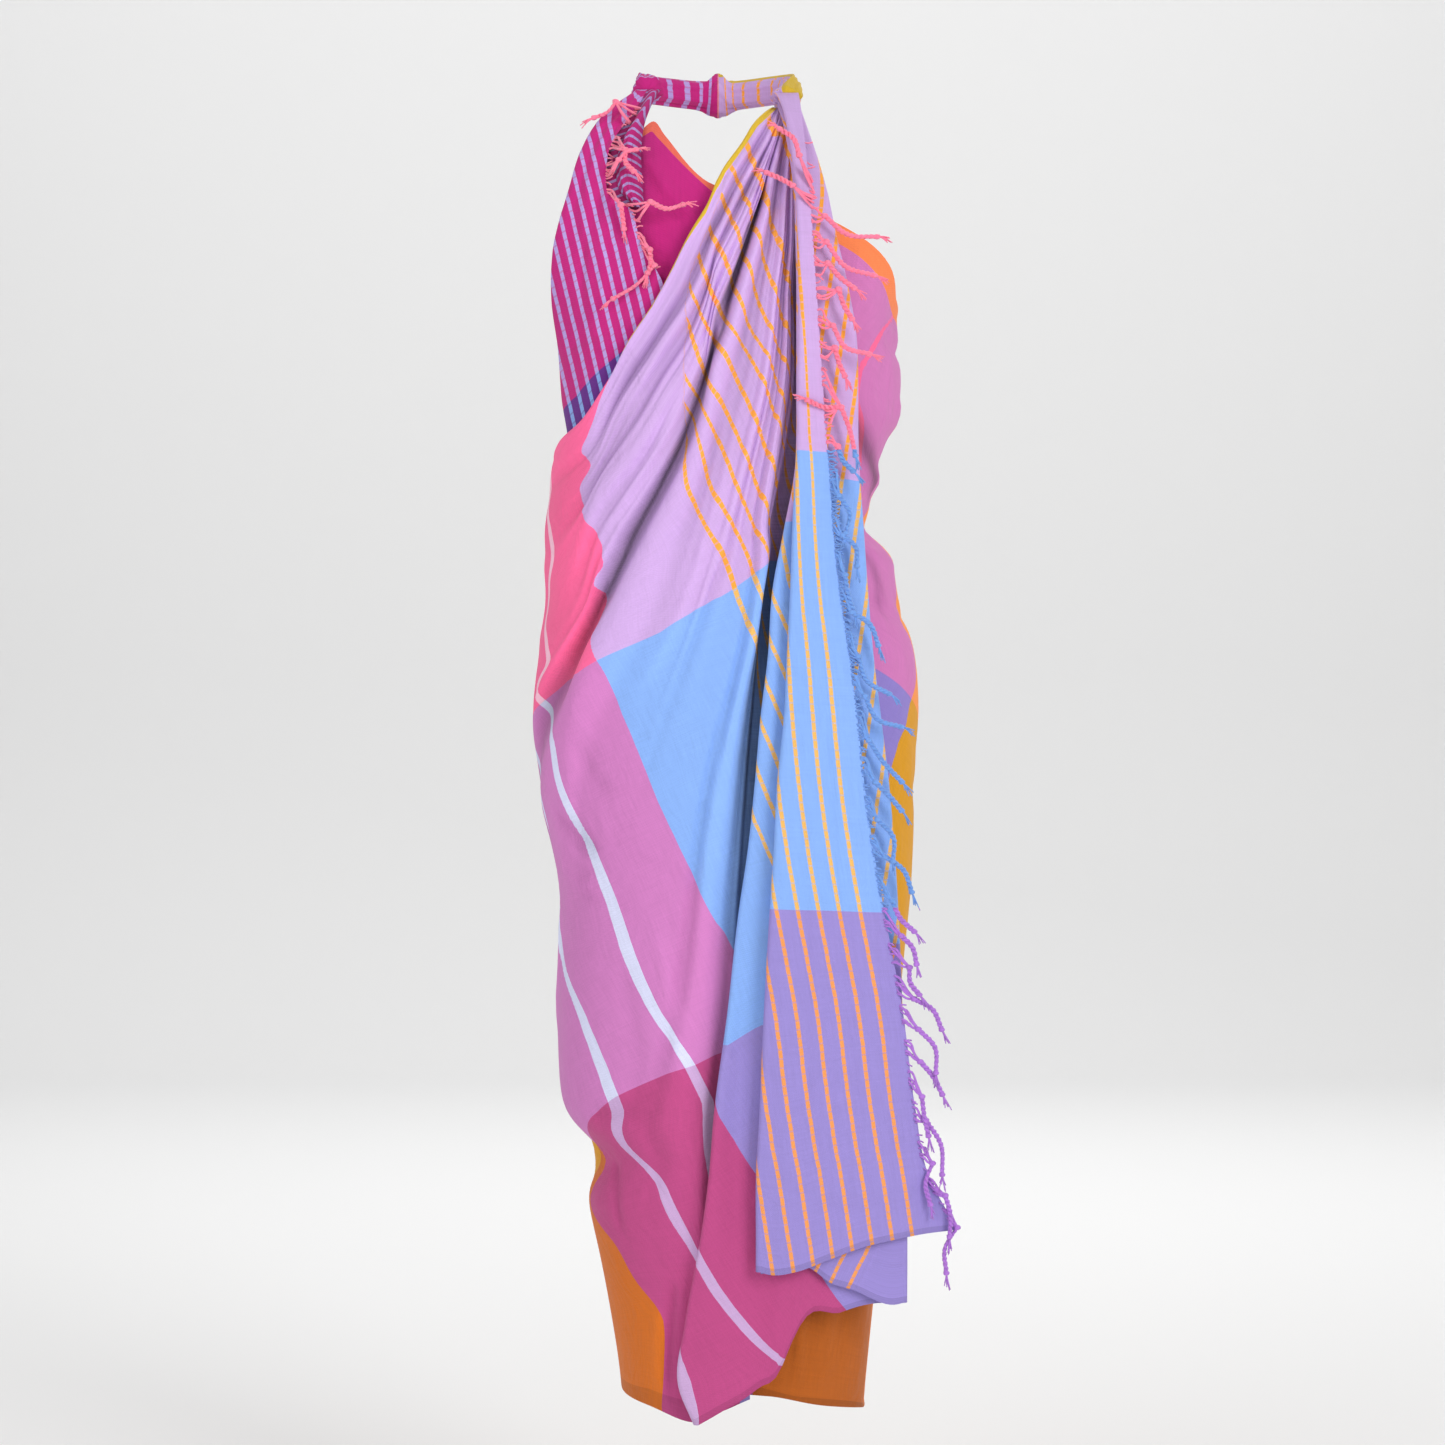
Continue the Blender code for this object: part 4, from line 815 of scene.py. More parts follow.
# The deepest shadow of the folds under the armpit: half width and how dark it is, as above
ARMPIT_SHADOW = (
    (13, 0.62, ((104, -296), (124, -320), (138, -342), (146, -362), (146, -398)), ()),
    (7, 0.30, ((128, -430), (140, -444), (150, -470), (154, -500)), ()),
)
WRAP_CREASES = FRONT_CREASES + BACK_CREASES
LAPEL_CREASES = (
    (4, -1.6, ((-72, -24), (-98, -70), (-116, -130), (-130, -220)), ()),
    (4, 1.4, ((-70, -26), (-92, -70), (-104, -130), (-106, -240)), ()),
    (4, -1.4, ((-144, -252), (-124, -240), (-96, -236), (-60, -232)), ()),
    (4, 1.2, ((-146, -262), (-124, -250), (-98, -246), (-64, -242)), ()),
    (5, -1.2, ((-140, -110), (-128, -150), (-124, -230)), ()),
)
STRIP_CREASES = (
    (5, -1.4, ((52, -120), (60, -300), (58, -520), (54, -760)), ()),
    (5, 1.2, ((84, -200), (96, -420), (108, -640), (118, -860)), ()),
    (6, -1.4, ((92, -520), (104, -700), (120, -900), (132, -1080)), ()),
    (6, 1.4, ((72, -600), (78, -800), (84, -1080)), ()),
    (7, -1.6, ((150, -820), (160, -940), (186, -1060)), ()),
    (6, -1.2, ((48, -880), (52, -980), (54, -1096)), ()),
    (6, -2.0, ((36, -1004), (80, -1030), (120, -1049), (190, -1044)), ()),
    (7, 1.6, ((50, -992), (104, -1022), (186, -1022)), ()),
    (5, -1.5, ((70, -1084), (110, -1066), (160, -1060)), ()),
    (6, -1.5, ((60, -900), (100, -930), (150, -936)), ()),
    (8, 2.0, ((10, -800), (-2, -960), (-8, -1100), (-8, -1230)), ()),
    (8, -2.4, ((28, -820), (16, -980), (12, -1120), (14, -1220)), ()),
    (8, 2.0, ((60, -1090), (52, -1150), (48, -1190)), ()),
    (8, -2.0, ((100, -1080), (88, -1120), (80, -1160)), ()),
)

# Neck tie
TIE_RINGS = 110
TIE_SIDES = 48
TIE_CREASES = 13
TIE_CREASE_DEPTH = 0.055
# Reach of a step for its direction, shares where it turns to its ends and widens to them, half
# lengths of the knot's swell and twist, and turns of the flutes down its length and in the knot
TIE_AHEAD = 0.05
TIE_TURNS, TIE_WIDENS = 0.06, 0.12
KNOT_SWELL_HALF, KNOT_TWIST_HALF = 0.06, 0.05
TIE_TWIST, KNOT_TWIST = 3, 5
TIE_EXTRA = 2 * MM
# Its places on the cloth: first one and length at both ends, and across
TIE_RIGHT_ALONG, TIE_LEFT_ALONG = (1.45, 0.4), (0.002, 0.20)
TIE_ACROSS = (0.11, 0.35, 0.02)

# Yarn of the fringes
STRAND_RADIUS = 1.15 * MM
TWIST_RADIUS = 1.35 * MM
TWIST_LENGTH = 9 * MM
KNOT_RADIUS = 3.4 * MM
FIBRE_RADIUS = 0.65 * MM
FIBRES = 8
ROOT_STRANDS = 4
ROOT_WIDTH = 13 * MM
ROOT_INSIDE = 0.3
FRINGE_CLEAR = 4.2 * MM
STRAND_STEPS, TASSEL_STEPS, FIBRE_STEPS = 12, 26, 6
TASSEL_SIDES, STRAND_SIDES, FIBRE_SIDES = 6, 5, 4
# Share of a twist seen along the cloth, a direction that no yarn follows, and a knot's winding
TWIST_FLAT = 0.7
OFF_YARN = (0.13, 1.0, 0.07)
KNOT_TURNS, KNOT_LOOP, KNOT_YARN = 2, 0.45, 0.55

# Camera, backdrop and lights
CAMERA_PLACE = (0.0043, -3.0, -0.596)
CAMERA_LENS = 78.6
SENSOR = 36
FLOOR = -1.45
SWEEP_FRONT = -7.0
SWEEP_BACK = 4.5
SWEEP_RADIUS = 1.0
SWEEP_TOP = 5.0
SWEEP_HALF_WIDTH = 8.0
SWEEP_STEPS = 24
KEY_POWER = 66.0
FILL_POWER = 42.0
BACKDROP_POWER = 106.0
WORLD_STRENGTH = 0.44
# Lights: name, place, target, size and the setting of their power
LIGHTS = (
    ("key light", (2.1, -2.9, 0.6), (0, 0, -0.6), (1.3, 2.2), "key_power"),
    ("fill light", (-2.4, -3.0, 0.1), (0, 0, -0.7), (2.0, 2.4), "fill_power"),
    ("rear light", (0.6, 3.2, 1.8), (0, 0, -0.6), (2.4, 1.6), "fill_power"),
    ("backdrop light", (0, 2.2, 3.4), (0, 5.4, -0.6), (7.0, 1.2), "backdrop_power"),
)


def to_linear(hex_colour):
    """Linear red, green, blue and alpha of an sRGB hex colour."""
    parts = [int(hex_colour[place:place + 2], 16) / 255 for place in (1, 3, 5)]
    parts = [part / 12.92 if part <= 0.04045 else ((part + 0.055) / 1.055) ** 2.4 for part in parts]
    return (*parts, 1.0)


# Metres round the figure at hip height, for distances between creases
TURNS = np.linspace(-150, 275, 851)
AROUND = run_along(on_figure(TURNS, np.full(len(TURNS), -0.6), OUTER_LIFT))


def around(turn):
    """Metres round the figure to a turn."""
    return np.interp(turn, TURNS, AROUND)


def crease_lift(across, height, creases, lift=0.0, as_turn=True, unit=MM):
    """Height of listed creases: soft ridges and troughs that fade at both ends.

    With a unit of 1 it is how dark their painted shade is.
    """
    total = np.zeros_like(height)
    where = around(across) if as_turn else across
    for half, rise, front, side in creases:
        line = line_of(front, side, lift, as_turn)
        if as_turn:
            line[:, 0] = around(line[:, 0])
        lengths = steps_along(line)
        reached = run_along(line) / lengths.sum()
        nearest = np.full(height.shape, FAR_AWAY)
        share = np.zeros_like(height)
        for start, end, before, length in zip(line, line[1:], reached, lengths):
            way = (end - start) / length
            out, up = where - start[0], height - start[1]
            along = np.clip(out * way[0] + up * way[1], 0, length)
            apart = np.hypot(out - along * way[0], up - along * way[1])
            closer = apart < nearest
            nearest = np.where(closer, apart, nearest)
            share = np.where(closer, before + along / lengths.sum(), share)
        fade = step(0, CREASE_FADES[0], share) * step(1, CREASE_FADES[1], share)
        total += rise * unit * np.exp(-(nearest / (half * MM)) ** 2) * fade
    return total


def sorted_lines(table, axis, lift, as_turn):
    """Places that a table gives to its lines, and the lines, each sorted along an axis."""
    lines = [line_of(*row[1:], lift=lift, as_turn=as_turn) for row in table]
    return [row[0] for row in table], [line[np.argsort(line[:, axis])] for line in lines]


def along_cloth(across, height, table, lift=0.0, as_turn=True, beyond=PER_DEGREE):
    """Place along the cloth, in metres, between the lines of a table."""
    ends, lines = sorted_lines(table, 1, lift, as_turn)
    lines = [curve(line[:, 1], line[:, 0], steady=True)(height) for line in lines]
    lines = np.maximum.accumulate(np.array(lines)) + LEAST_GAP * np.arange(len(ends))[:, None, None]
    outside = beyond * np.sign(ends[-1] - ends[0])
    found = ends[0] + (across - lines[0]) * outside
    for index in range(len(ends) - 1):
        share = (across - lines[index]) / (lines[index + 1] - lines[index])
        inside = ends[index] + share * (ends[index + 1] - ends[index])
        found = np.where(share >= 0, inside, found)
    return np.where(across > lines[-1], ends[-1] + (across - lines[-1]) * outside, found)


def across_cloth(across, height, table, lift=0.0, as_turn=True, hem=None):
    """Place across the cloth, in metres from its top selvedge, between the lines of a table."""
    ends, lines = sorted_lines(table, 0, lift, as_turn)
    lines = [np.interp(across, line[:, 0], line[:, 1]) for line in lines]
    if hem is not None:
        ends.append(WIDTH)
        lines.append(np.broadcast_to(hem, height.shape))
    found = ends[0] + (lines[0] - height)
    for index in range(len(ends) - 1):
        gap = np.maximum(lines[index] - lines[index + 1], LEAST_GAP)
        share = (lines[index] - height) / gap
        inside = ends[index] + share * (ends[index + 1] - ends[index])
        found = np.where(share >= 0, inside, found)
    return np.where(height < lines[-1], ends[-1] + (lines[-1] - height), found)


def new_mesh(name, points, faces, maps=None):
    """A mesh object, smooth, with its cloth map from one pair of values for each face corner."""
    mesh = bpy.data.meshes.new(name)
    mesh.from_pydata(np.asarray(points).reshape(-1, 3).tolist(), [], faces)
    if maps is not None:
        layer = mesh.uv_layers.new(name="cloth")
        layer.data.foreach_set("uv", np.asarray(maps, dtype=np.float32).ravel())
    mesh.shade_smooth()
    made = bpy.data.objects.new(name, mesh)
    bpy.context.scene.collection.objects.link(made)
    return made


def grid_object(name, grid, along, across, closed=False):
    """A mesh on a grid of points, rows down and columns to the right, mapped in metres."""
    rows, columns = grid.shape[:2]
    wide = columns if closed else columns - 1
    row, column = np.meshgrid(np.arange(rows - 1), np.arange(wide), indexing="ij")
    after = (column + 1) % columns
    faces = np.stack([row * columns + column, (row + 1) * columns + column,
                      (row + 1) * columns + after, row * columns + after], axis=-1)
    corners = [(row, column), (row + 1, column), (row + 1, column + 1), (row, column + 1)]
    maps = np.stack([np.stack([along[c], across[c]], axis=-1) for c in corners], axis=2)
    return new_mesh(name, grid, faces.reshape(-1, 4).tolist(), maps)


def cloth_piece(name, grid, along, across, cloth, hollow=None):
    """One stretch of the cloth as a thin shell that stands for its CAD node."""
    sizes = bpy.context.scene.sarong_cloth
    made = grid_object(name + "_cloth", grid, along, across)
    # Painted shade of folds and shadows, kept as a value per point that darkens the plaid's colour
    if hollow is not None:
        shaded = made.data.attributes.new("hollow", "FLOAT", "POINT")
        shaded.data.foreach_set("value", np.asarray(hollow, dtype=np.float32).ravel())
    wall = made.modifiers.new("cloth thickness", "SOLIDIFY")
    wall.thickness = sizes.cloth_thickness
    wall.offset = 0
    crisp = made.modifiers.new("crisp edges", "EDGE_SPLIT")
    crisp.split_angle = math.radians(CRISP_ANGLE)
    finish(made, cloth, name)
    return made


def finish(made, finish_name, node):
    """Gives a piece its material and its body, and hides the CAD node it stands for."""
    made.data.materials.append(finish_material(finish_name))
    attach(made, "root")
    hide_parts(node)


def fan_grid(guides, base_lift, lift_at, shares_across, rows):
    """Turns, heights and points of a piece that follows its guides."""
    place = fan(guides, base_lift)
    places = np.array([place(shares_across, down) for down in np.linspace(0, 1, rows)])
    turn, height = places[..., 0], places[..., 1]
    shares_down = np.linspace(0, 1, rows)[:, None]
    return turn, height, lift_at(shares_across[None, :], shares_down, turn, height)


def wrap_grid(first, last, columns, lift_at, rows=CLOTH_ROWS):
    """Turns, heights and lift of the wrap between two turns."""
    top, hem = knot_curve(WRAP_TOP), knot_curve(WRAP_HEM)
    turns = np.linspace(first, last, columns)
    down = np.linspace(0, 1, rows)[:, None]
    height = top(turns) + (hem(turns) - top(turns)) * down
    turn = np.broadcast_to(turns, height.shape)
    return turn, height, lift_at(turn, height)


def rolled(distance, lift=1.2 * MM):
    """A small roll of a selvedge or hem, by the distance from it."""
    return lift * np.exp(-(distance / ROLLED_HALF) ** 2)


def wrap_piece(turn, height, lift):
    """Points and map of one stretch of the wrap, with its creases."""
    along = along_cloth(turn, height, WRAP_ALONG)
    across = across_cloth(turn, height, WRAP_ACROSS)
    lift = lift + crease_lift(turn, height, WRAP_CREASES) + rolled(across) + rolled(WIDTH - across)
    across = across + NECK_EDGE_UNDER * step(*NECK_EDGE_TURNS, turn)
    return on_figure(turn, height, lift), along, across


def make_under_front():
    """The inner end of the cloth, across the chest from the left fold to the right armpit."""
    shares = np.linspace(0, 1, FRONT_COLUMNS)

    def lift_at(places, down, turn, height):
        return side_lift(turn, height) * step(*SIDE_LIFT_SHARES, places)

    turn, height, lift = fan_grid(UNDER_FRONT_GUIDES, 0, lift_at, shares, CLOTH_ROWS)
    edge_turn, edge_height, _ = wrap_grid(RIGHT_TURN, RIGHT_TURN + 1, 2, side_lift)
    turn[:, -1], height[:, -1] = edge_turn[:, 0], edge_height[:, 0]
    lift[:, -1] = side_lift(turn[:, -1], height[:, -1])
    grid, along, across = wrap_piece(turn, height, lift)
    # Painted shadows: under the tip of the tail, beside the roll and under the armpit
    dark, tail_x, tail_heights = UNDER_TAIL
    hollow = dark * step(*tail_x, grid[..., 0]) * step(*tail_heights, height)
    dark, middle, half, roll_heights = BY_ROLL
    hollow += dark * np.exp(-((grid[..., 0] - middle) / half) ** 2) * step(*roll_heights, height)
    hollow += crease_lift(turn, height, ARMPIT_SHADOW, unit=1)
    made = cloth_piece("under_front", grid, along, across, "inner_plaid", hollow)


def make_right_side():
    """The wrap under the right arm."""
    wrapped = wrap_piece(*wrap_grid(RIGHT_TURN, BACK_TURN, SIDE_COLUMNS, side_lift))
    made = cloth_piece("right_side", *wrapped, "inner_plaid")


def make_back():
    """The wrap across the back, rising to the outer layer on the left."""
    wrapped = wrap_piece(*wrap_grid(BACK_TURN, LEFT_TURN, BACK_COLUMNS, back_lift))
    made = cloth_piece("back", *wrapped, "back_plaid")


def panel_painted_shade(turn, height, depth, shares, down):
    """Painted shade of the outer panel's folds, its deepest crease and the cloth beside the pleat, with
    a painted highlight on its ridges.
    """
    hollow = np.clip(-depth * PAINTED_FOLD_SHADE, PAINTED_SHADE_LEAST, PAINTED_SHADE_MOST)
    deepest = (*CREASE_LINE, *MAIN_CREASES[0][2:])
    hollow = hollow + crease_lift(turn, height, (deepest,), OUTER_LIFT, unit=1)
    dark, places, lower, upper = BESIDE_PLEAT
    beside = step(*places, shares) * step(*lower, height) * step(*upper, height)
    more, near = NEAR_TIE
    hollow = hollow * (1 + more * step(*near, down)) + dark * beside
    return np.minimum(hollow, DARKEST_PAINTED_SHADE)


def make_main_panel():
    """The outer layer, from the left of the back round to the deep pleat in front."""
    shares = np.linspace(0, 1, MAIN_COLUMNS)
    turn_in = knot_curve(SLOT_TURN_IN)

    def lift_at(places, down, turn, height):
        folds = [fold_height(MAIN_FOLDS + MAIN_FINE_FOLDS, places[0], one) for one in down[:, 0]]
        return OUTER_LIFT + np.array(folds) - turn_in(down) * step(*TURNS_IN, places)

    turn, height, lift = fan_grid(MAIN_GUIDES, OUTER_LIFT, lift_at, shares, MAIN_PANEL_ROWS)
    along = along_cloth(turn, height, MAIN_ALONG, OUTER_LIFT)
    start = line_of(STRIPES_START, lift=OUTER_LIFT)[::-1]
    plain = turn < curve(start[:, 1], start[:, 0], steady=True)(height)
    along = np.where(plain, np.minimum(along, STRIPES_AFTER), along)
    across = across_cloth(turn, height, MAIN_ACROSS, OUTER_LIFT)
    below = UNDER_AT_NECK + (1 - UNDER_AT_NECK) * step(*UNDER_HEIGHTS, height)
    across = across + EDGE_TURNED_UNDER * below
    down = np.linspace(0, 1, MAIN_PANEL_ROWS)[:, None]
    creases = crease_lift(turn, height, MAIN_CREASES, OUTER_LIFT) * step(*CREASES_GROW, down)
    # Painted shade in the folds and beside the pleat, and painted highlight on the ridges
    hollow = panel_painted_shade(turn, height, lift + creases - OUTER_LIFT, shares, down)
    lift = lift + creases * step(*CREASES_END, down) + rolled(across) * step(*ROLL_GROWS, down)
    grid = on_figure(turn, height, np.maximum(lift, LEAST_LIFT))
    grid = gather(grid, RIGHT_CAP, WHOLE_CAP, MAIN_LAYER * CAP_LAYER, MAIN_DRAWN)
    at_back = shares <= MEETS_BACK
    edge_turn, edge_height, edge_lift = wrap_grid(LEFT_TURN - 1, LEFT_TURN, 2, back_lift)
    edge_lift = edge_lift + crease_lift(edge_turn, edge_height, WRAP_CREASES)
    edge = on_figure(edge_turn, edge_height, edge_lift)[:, 1]
    grid[-1, at_back] = on_column(edge, grid[-1, at_back, 2])
    extra = np.linspace(0, 1, SLOT_RETURN_COLUMNS + 1)[1:]
    turned = step(*SLOT_GROWS, down) * step(*SLOT_ENDS, down)
    inward = (extra - SLOT_BOW * np.sin(math.pi * extra)) * SLOT_RETURN * turned
    back = np.sin(math.pi / 2 * extra) * SLOT_RETURN_DEEP * turned
    returned = grid[:, -1:] + np.stack([inward, back, 0 * back], axis=-1)
    grid = np.concatenate([grid, returned], axis=1)
    along = np.concatenate([along, along[:, -1:] + SLOT_RETURN * extra], axis=1)
    across = np.pad(across, ((0, 0), (0, SLOT_RETURN_COLUMNS)), mode="edge")
    # The return into the slot gets painted shade, darker towards its far edge
    hollow = np.concatenate([hollow, np.linspace(*SLOT_SHADES, SLOT_RETURN_COLUMNS) * turned], axis=1)
    made = cloth_piece("main_panel", grid, along, across, "outer_plaid", hollow)


def strip_piece(left, right, hem, layer, curls, tables, last_stripe=None):
    """One hanging strip, with a rounded fold turned back at its left or right edge, and its map.

    The outer end has no lines along the cloth: it is mapped from its fringed edge.
    """
    hem_height = knot_curve(hem)
    shares = np.linspace(0, 1, STRIP_COLUMNS)
    down = np.linspace(0, 1, STRIP_ROWS)[:, None]
    height = STRIP_TOP + (hem_height(shares) - STRIP_TOP) * down
    width = np.maximum(right(height) - left(height) - 2 * CURL_RADIUS, LEAST_STRIP)
    x = left(height) + CURL_RADIUS + width * shares
    creases = crease_lift(x, height, STRIP_CREASES, as_turn=False) * step(*STRIP_CREASES_GROW, down)
    flat = np.stack([x, strip_depth(x, height, layer) - creases, height], axis=-1)
    if tables[0]:
        along = along_cloth(x, height, tables[0], as_turn=False, beyond=1.0)
    else:
        more, gathered = END_GATHER
        woven_edge = tail_right(CORNER_HEIGHT) + (CORNER_HEIGHT - height) * WOVEN_LEAN
        edge = np.where(height < CORNER_HEIGHT, woven_edge, tail_right(height))
        along = LENGTH - END_SELVEDGE - (edge - x) * (1 + more * step(*gathered, height))
    if last_stripe:
        along = np.where(height < last_stripe[0], np.maximum(along, last_stripe[1]), along)
    across = across_cloth(x, height, tables[1], as_turn=False, hem=hem_height(shares))
    angles = np.radians(np.linspace(*CURL_ANGLES, CURL_STEPS))
    rows = []
    for row in flat:
        left_fold = fold_edge(row[0], angles, -1) if curls[0] else []
        right_fold = fold_edge(row[-1], angles, 1)[::-1] if curls[1] else []
        rows.append(left_fold + list(row) + right_fold)
    grid = np.array(rows)
    steps = np.linalg.norm(np.diff(grid, axis=1), axis=2)
    count = CURL_STEPS + 1
    if curls[0]:
        more = along[:, :1] - np.cumsum(steps[:, :count][:, ::-1], axis=1)[:, ::-1]
        along = np.concatenate([more, along], axis=1)
    if curls[1]:
        more = along[:, -1:] - np.cumsum(steps[:, -count:], axis=1)
        along = np.concatenate([along, more], axis=1)
    across = np.pad(across, ((0, 0), (count * curls[0], count * curls[1])), mode="edge")
    return grid, along, across


def inset(edge, distance):
    """An edge curve moved to the right."""
    return lambda height: edge(height) + distance


def hang(name, strip, layers, drawn):
    """Draws a strip in to the tie and makes its piece."""
    grid, along, across = strip
    grid = gather(grid, RIGHT_CAP, WHOLE_CAP, layers * CAP_LAYER, drawn)
    return cloth_piece(name, grid, along, across, "tail_plaid"), grid


def make_strips():
    """The pleat and the two strips of the tail, folded as a zigzag and gathered at the neck."""
    strip = strip_piece(pleat_left, fold_right, PLEAT_HEM, 0, (True, False),
                        (PLEAT_ALONG, PLEAT_ACROSS))
    made, _ = hang("front_pleat", strip, -0.9, 0.09)
    strip = strip_piece(tail_left, fold_right, TAIL_UNDER_HEM, 1, (False, True),
                        (UNDER_ALONG, UNDER_ACROSS), LAST_STRIPE)
    made, _ = hang("tail_under", strip, 0.6, 0.10)
    strip = strip_piece(tail_left, inset(tail_right, CURL_RADIUS), TAIL_FRONT_HEM, 2, (True, False),
                        (None, FRONT_ACROSS))
    made, grid = hang("tail_front", strip, 2.1, 0.10)
    return grid


def make_lapel():
    """The folded-back inner end on the left of the chest, with its curl round the left fold."""
    shares = np.linspace(0, 1, LAPEL_COLUMNS)

    def lift_at(places, down, turn, height):
        waves = np.sin(places * LAPEL_WAVES[0] + down * LAPEL_WAVES[1])
        return LAPEL_LIFT + LAPEL_RIPPLE * waves * step(*LAPEL_WAVES_GROW, places)

    turn, height, lift = fan_grid(LAPEL_GUIDES, LAPEL_LIFT, lift_at, shares, LAPEL_ROWS)
    lift = lift + crease_lift(turn, height, LAPEL_CREASES, LAPEL_LIFT)
    flat = on_figure(turn, height, lift)
    bend = np.radians(np.linspace(-90, 90, CURL_STEPS))
    rows = []
    for index in range(LAPEL_ROWS):
        edge_turn = np.full(len(bend), turn[index, 0])
        edge_height = np.full(len(bend), height[index, 0])
        fold = on_figure(edge_turn, edge_height, LAPEL_LIFT / 2 * (1 + np.sin(bend)))
        outward = fold[-1] - flat[index, LAPEL_INNER_COLUMN]
        outward = outward / np.linalg.norm(outward)
        fold = fold + outward * (LAPEL_LIFT / 2 * np.cos(bend))[:, None]
        rows.append([fold[0] - outward * CURL_RETURN] + list(fold[:-1]) + list(flat[index]))
    grid = gather(np.array(rows), LEFT_CAP, LAPEL_ON_CAP, 0, LAPEL_DRAWN)
    slant = math.radians(LAPEL_SLANT)
    along = LAPEL_EDGE - flat[..., 0] * math.cos(slant) - flat[..., 2] * math.sin(slant)
    turned = along[:, :1] + np.linspace(*LAPEL_TURNED, CURL_STEPS)
    along = np.concatenate([turned, along], axis=1)
    across = across_cloth(turn, height, LAPEL_ACROSS, LAPEL_LIFT)
    across = np.pad(across, ((0, 0), (CURL_STEPS, 0)), mode="edge")
    made = cloth_piece("lapel", grid, along, across, "lapel_plaid")
    return grid


def make_roll():
    """The gathered roll between the lapel's fringed edge and the neck."""
    shares = np.linspace(0, 1, ROLL_COLUMNS)

    def lift_at(places, down, turn, height):
        crest = ROLL_CREST * (1 - ROLL_TAPER * down) * step(*ROLL_CREST_GROWS, down)
        flutes = ROLL_FLUTE_HEIGHT * np.sin(places * ROLL_FLUTES) * step(*ROLL_FLUTES_GROW, down)
        return ROLL_LIFT + crest * np.sin(math.pi * places) + flutes

    turn, height, lift = fan_grid(ROLL_GUIDES, ROLL_LIFT, lift_at, shares, ROLL_ROWS)
    grid = gather(on_figure(turn, height, lift), LEFT_CAP, ROLL_ON_CAP, 0, ROLL_DRAWN)
    way = np.array(ROLL_UNDER_WAY) * ROLL_UNDER_LAPEL
    under = grid[:, :1] + way * np.array(ROLL_UNDER_SHARES)[:, None]
    grid = np.concatenate([under, grid], axis=1)
    shares = np.concatenate([ROLL_HIDDEN_PLACES, shares])
    down = np.linspace(0, 1, ROLL_ROWS)[:, None]
    first, length, bulge = ROLL_ALONG
    along = first + length * down + bulge * np.sin(math.pi * shares)[None, :]
    across = np.broadcast_to(ROLL_ACROSS[0] + ROLL_ACROSS[1] * shares, along.shape)
    # Painted shade over the whole roll, darker towards both its edges
    crest = np.sin(math.pi * np.clip(shares, 0, 1))
    hollow = ROLL_SHADES[0] + ROLL_SHADES[1] * np.clip(1 - crest, 0, 1) + 0 * along
    made = cloth_piece("lapel_roll", grid, along, across, "lapel_plaid", hollow)


def make_neck_tie():
    """The gathered top corners, tied behind the neck with a plain knot."""
    path = curve(range(len(TIE_PATH)), np.array(TIE_PATH) * MM)
    last_place = len(TIE_PATH) - 1
    angle = np.linspace(0, 2 * math.pi, TIE_SIDES, endpoint=False)
    rings = []
    for share in np.linspace(0, 1, TIE_RINGS):
        place = share * last_place
        ahead = path(min(place + TIE_AHEAD, last_place)) - path(max(place - TIE_AHEAD, 0))
        ends = step(TIE_TURNS, 0, share), step(1 - TIE_TURNS, 1, share)
        ahead = ahead / np.linalg.norm(ahead)
        ahead = ahead * (1 - sum(ends)) - RIGHT_CAP[1] * ends[0] + LEFT_CAP[1] * ends[1]
        ahead = ahead / np.linalg.norm(ahead)
        wide = np.cross(ahead, (0, 0, 1))
        wide = wide / np.linalg.norm(wide)
        tall = np.cross(wide, ahead)
        swell = 1 + TIE_KNOT_SWELL * math.exp(-((share - 0.5) / KNOT_SWELL_HALF) ** 2)
        at_end = float(step(TIE_WIDENS, 0, share) + step(1 - TIE_WIDENS, 1, share))
        half_wide = TIE_HALF_THICK + (CAP_HALF_WIDTH + TIE_EXTRA - TIE_HALF_THICK) * at_end
        twist = TIE_TWIST * share + KNOT_TWIST * math.exp(-((share - 0.5) / KNOT_TWIST_HALF) ** 2)
        flute = 1 + TIE_FLUTE_DEPTH * np.sin(TIE_FLUTES * angle + twist)
        flute = flute + TIE_CREASE_DEPTH * np.sin(TIE_CREASES * angle + 2 * twist)
        reach = wide * half_wide * np.cos(angle)[:, None]
        reach = reach + tall * TIE_HALF_HEIGHT * np.sin(angle)[:, None]
        rings.append(path(place) + reach * (flute * swell)[:, None])
    rings = np.array(rings)
    caps = [ends.mean(axis=1, keepdims=True) + 0 * ends for ends in (rings[:1], rings[-1:])]
    grid = np.concatenate([caps[0], rings, caps[1]])
    share = np.linspace(0, 1, TIE_RINGS + 2)[:, None]
    side = np.linspace(0, 1, TIE_SIDES + 1)[None, :]
    right = TIE_RIGHT_ALONG[0] + TIE_RIGHT_ALONG[1] * share + 0 * side
    left = TIE_LEFT_ALONG[1] * (1 - share) + TIE_LEFT_ALONG[0] + 0 * side
    along = np.where(share < 0.5, right, left)
    deep, first, apart = TIE_ACROSS
    across = deep * np.abs(np.mod(side + first, 1) - 0.5) + np.where(share < 0.5, 0.0, apart)
    made = grid_object("neck_tie_cloth", grid, along, across, closed=True)
    shape = bmesh.new()
    shape.from_mesh(made.data)
    bmesh.ops.remove_doubles(shape, verts=shape.verts, dist=1e-6)
    bmesh.ops.recalc_face_normals(shape, faces=shape.faces)
    shape.to_mesh(made.data)
    shape.free()
    finish(made, "lapel_plaid", "neck_tie")


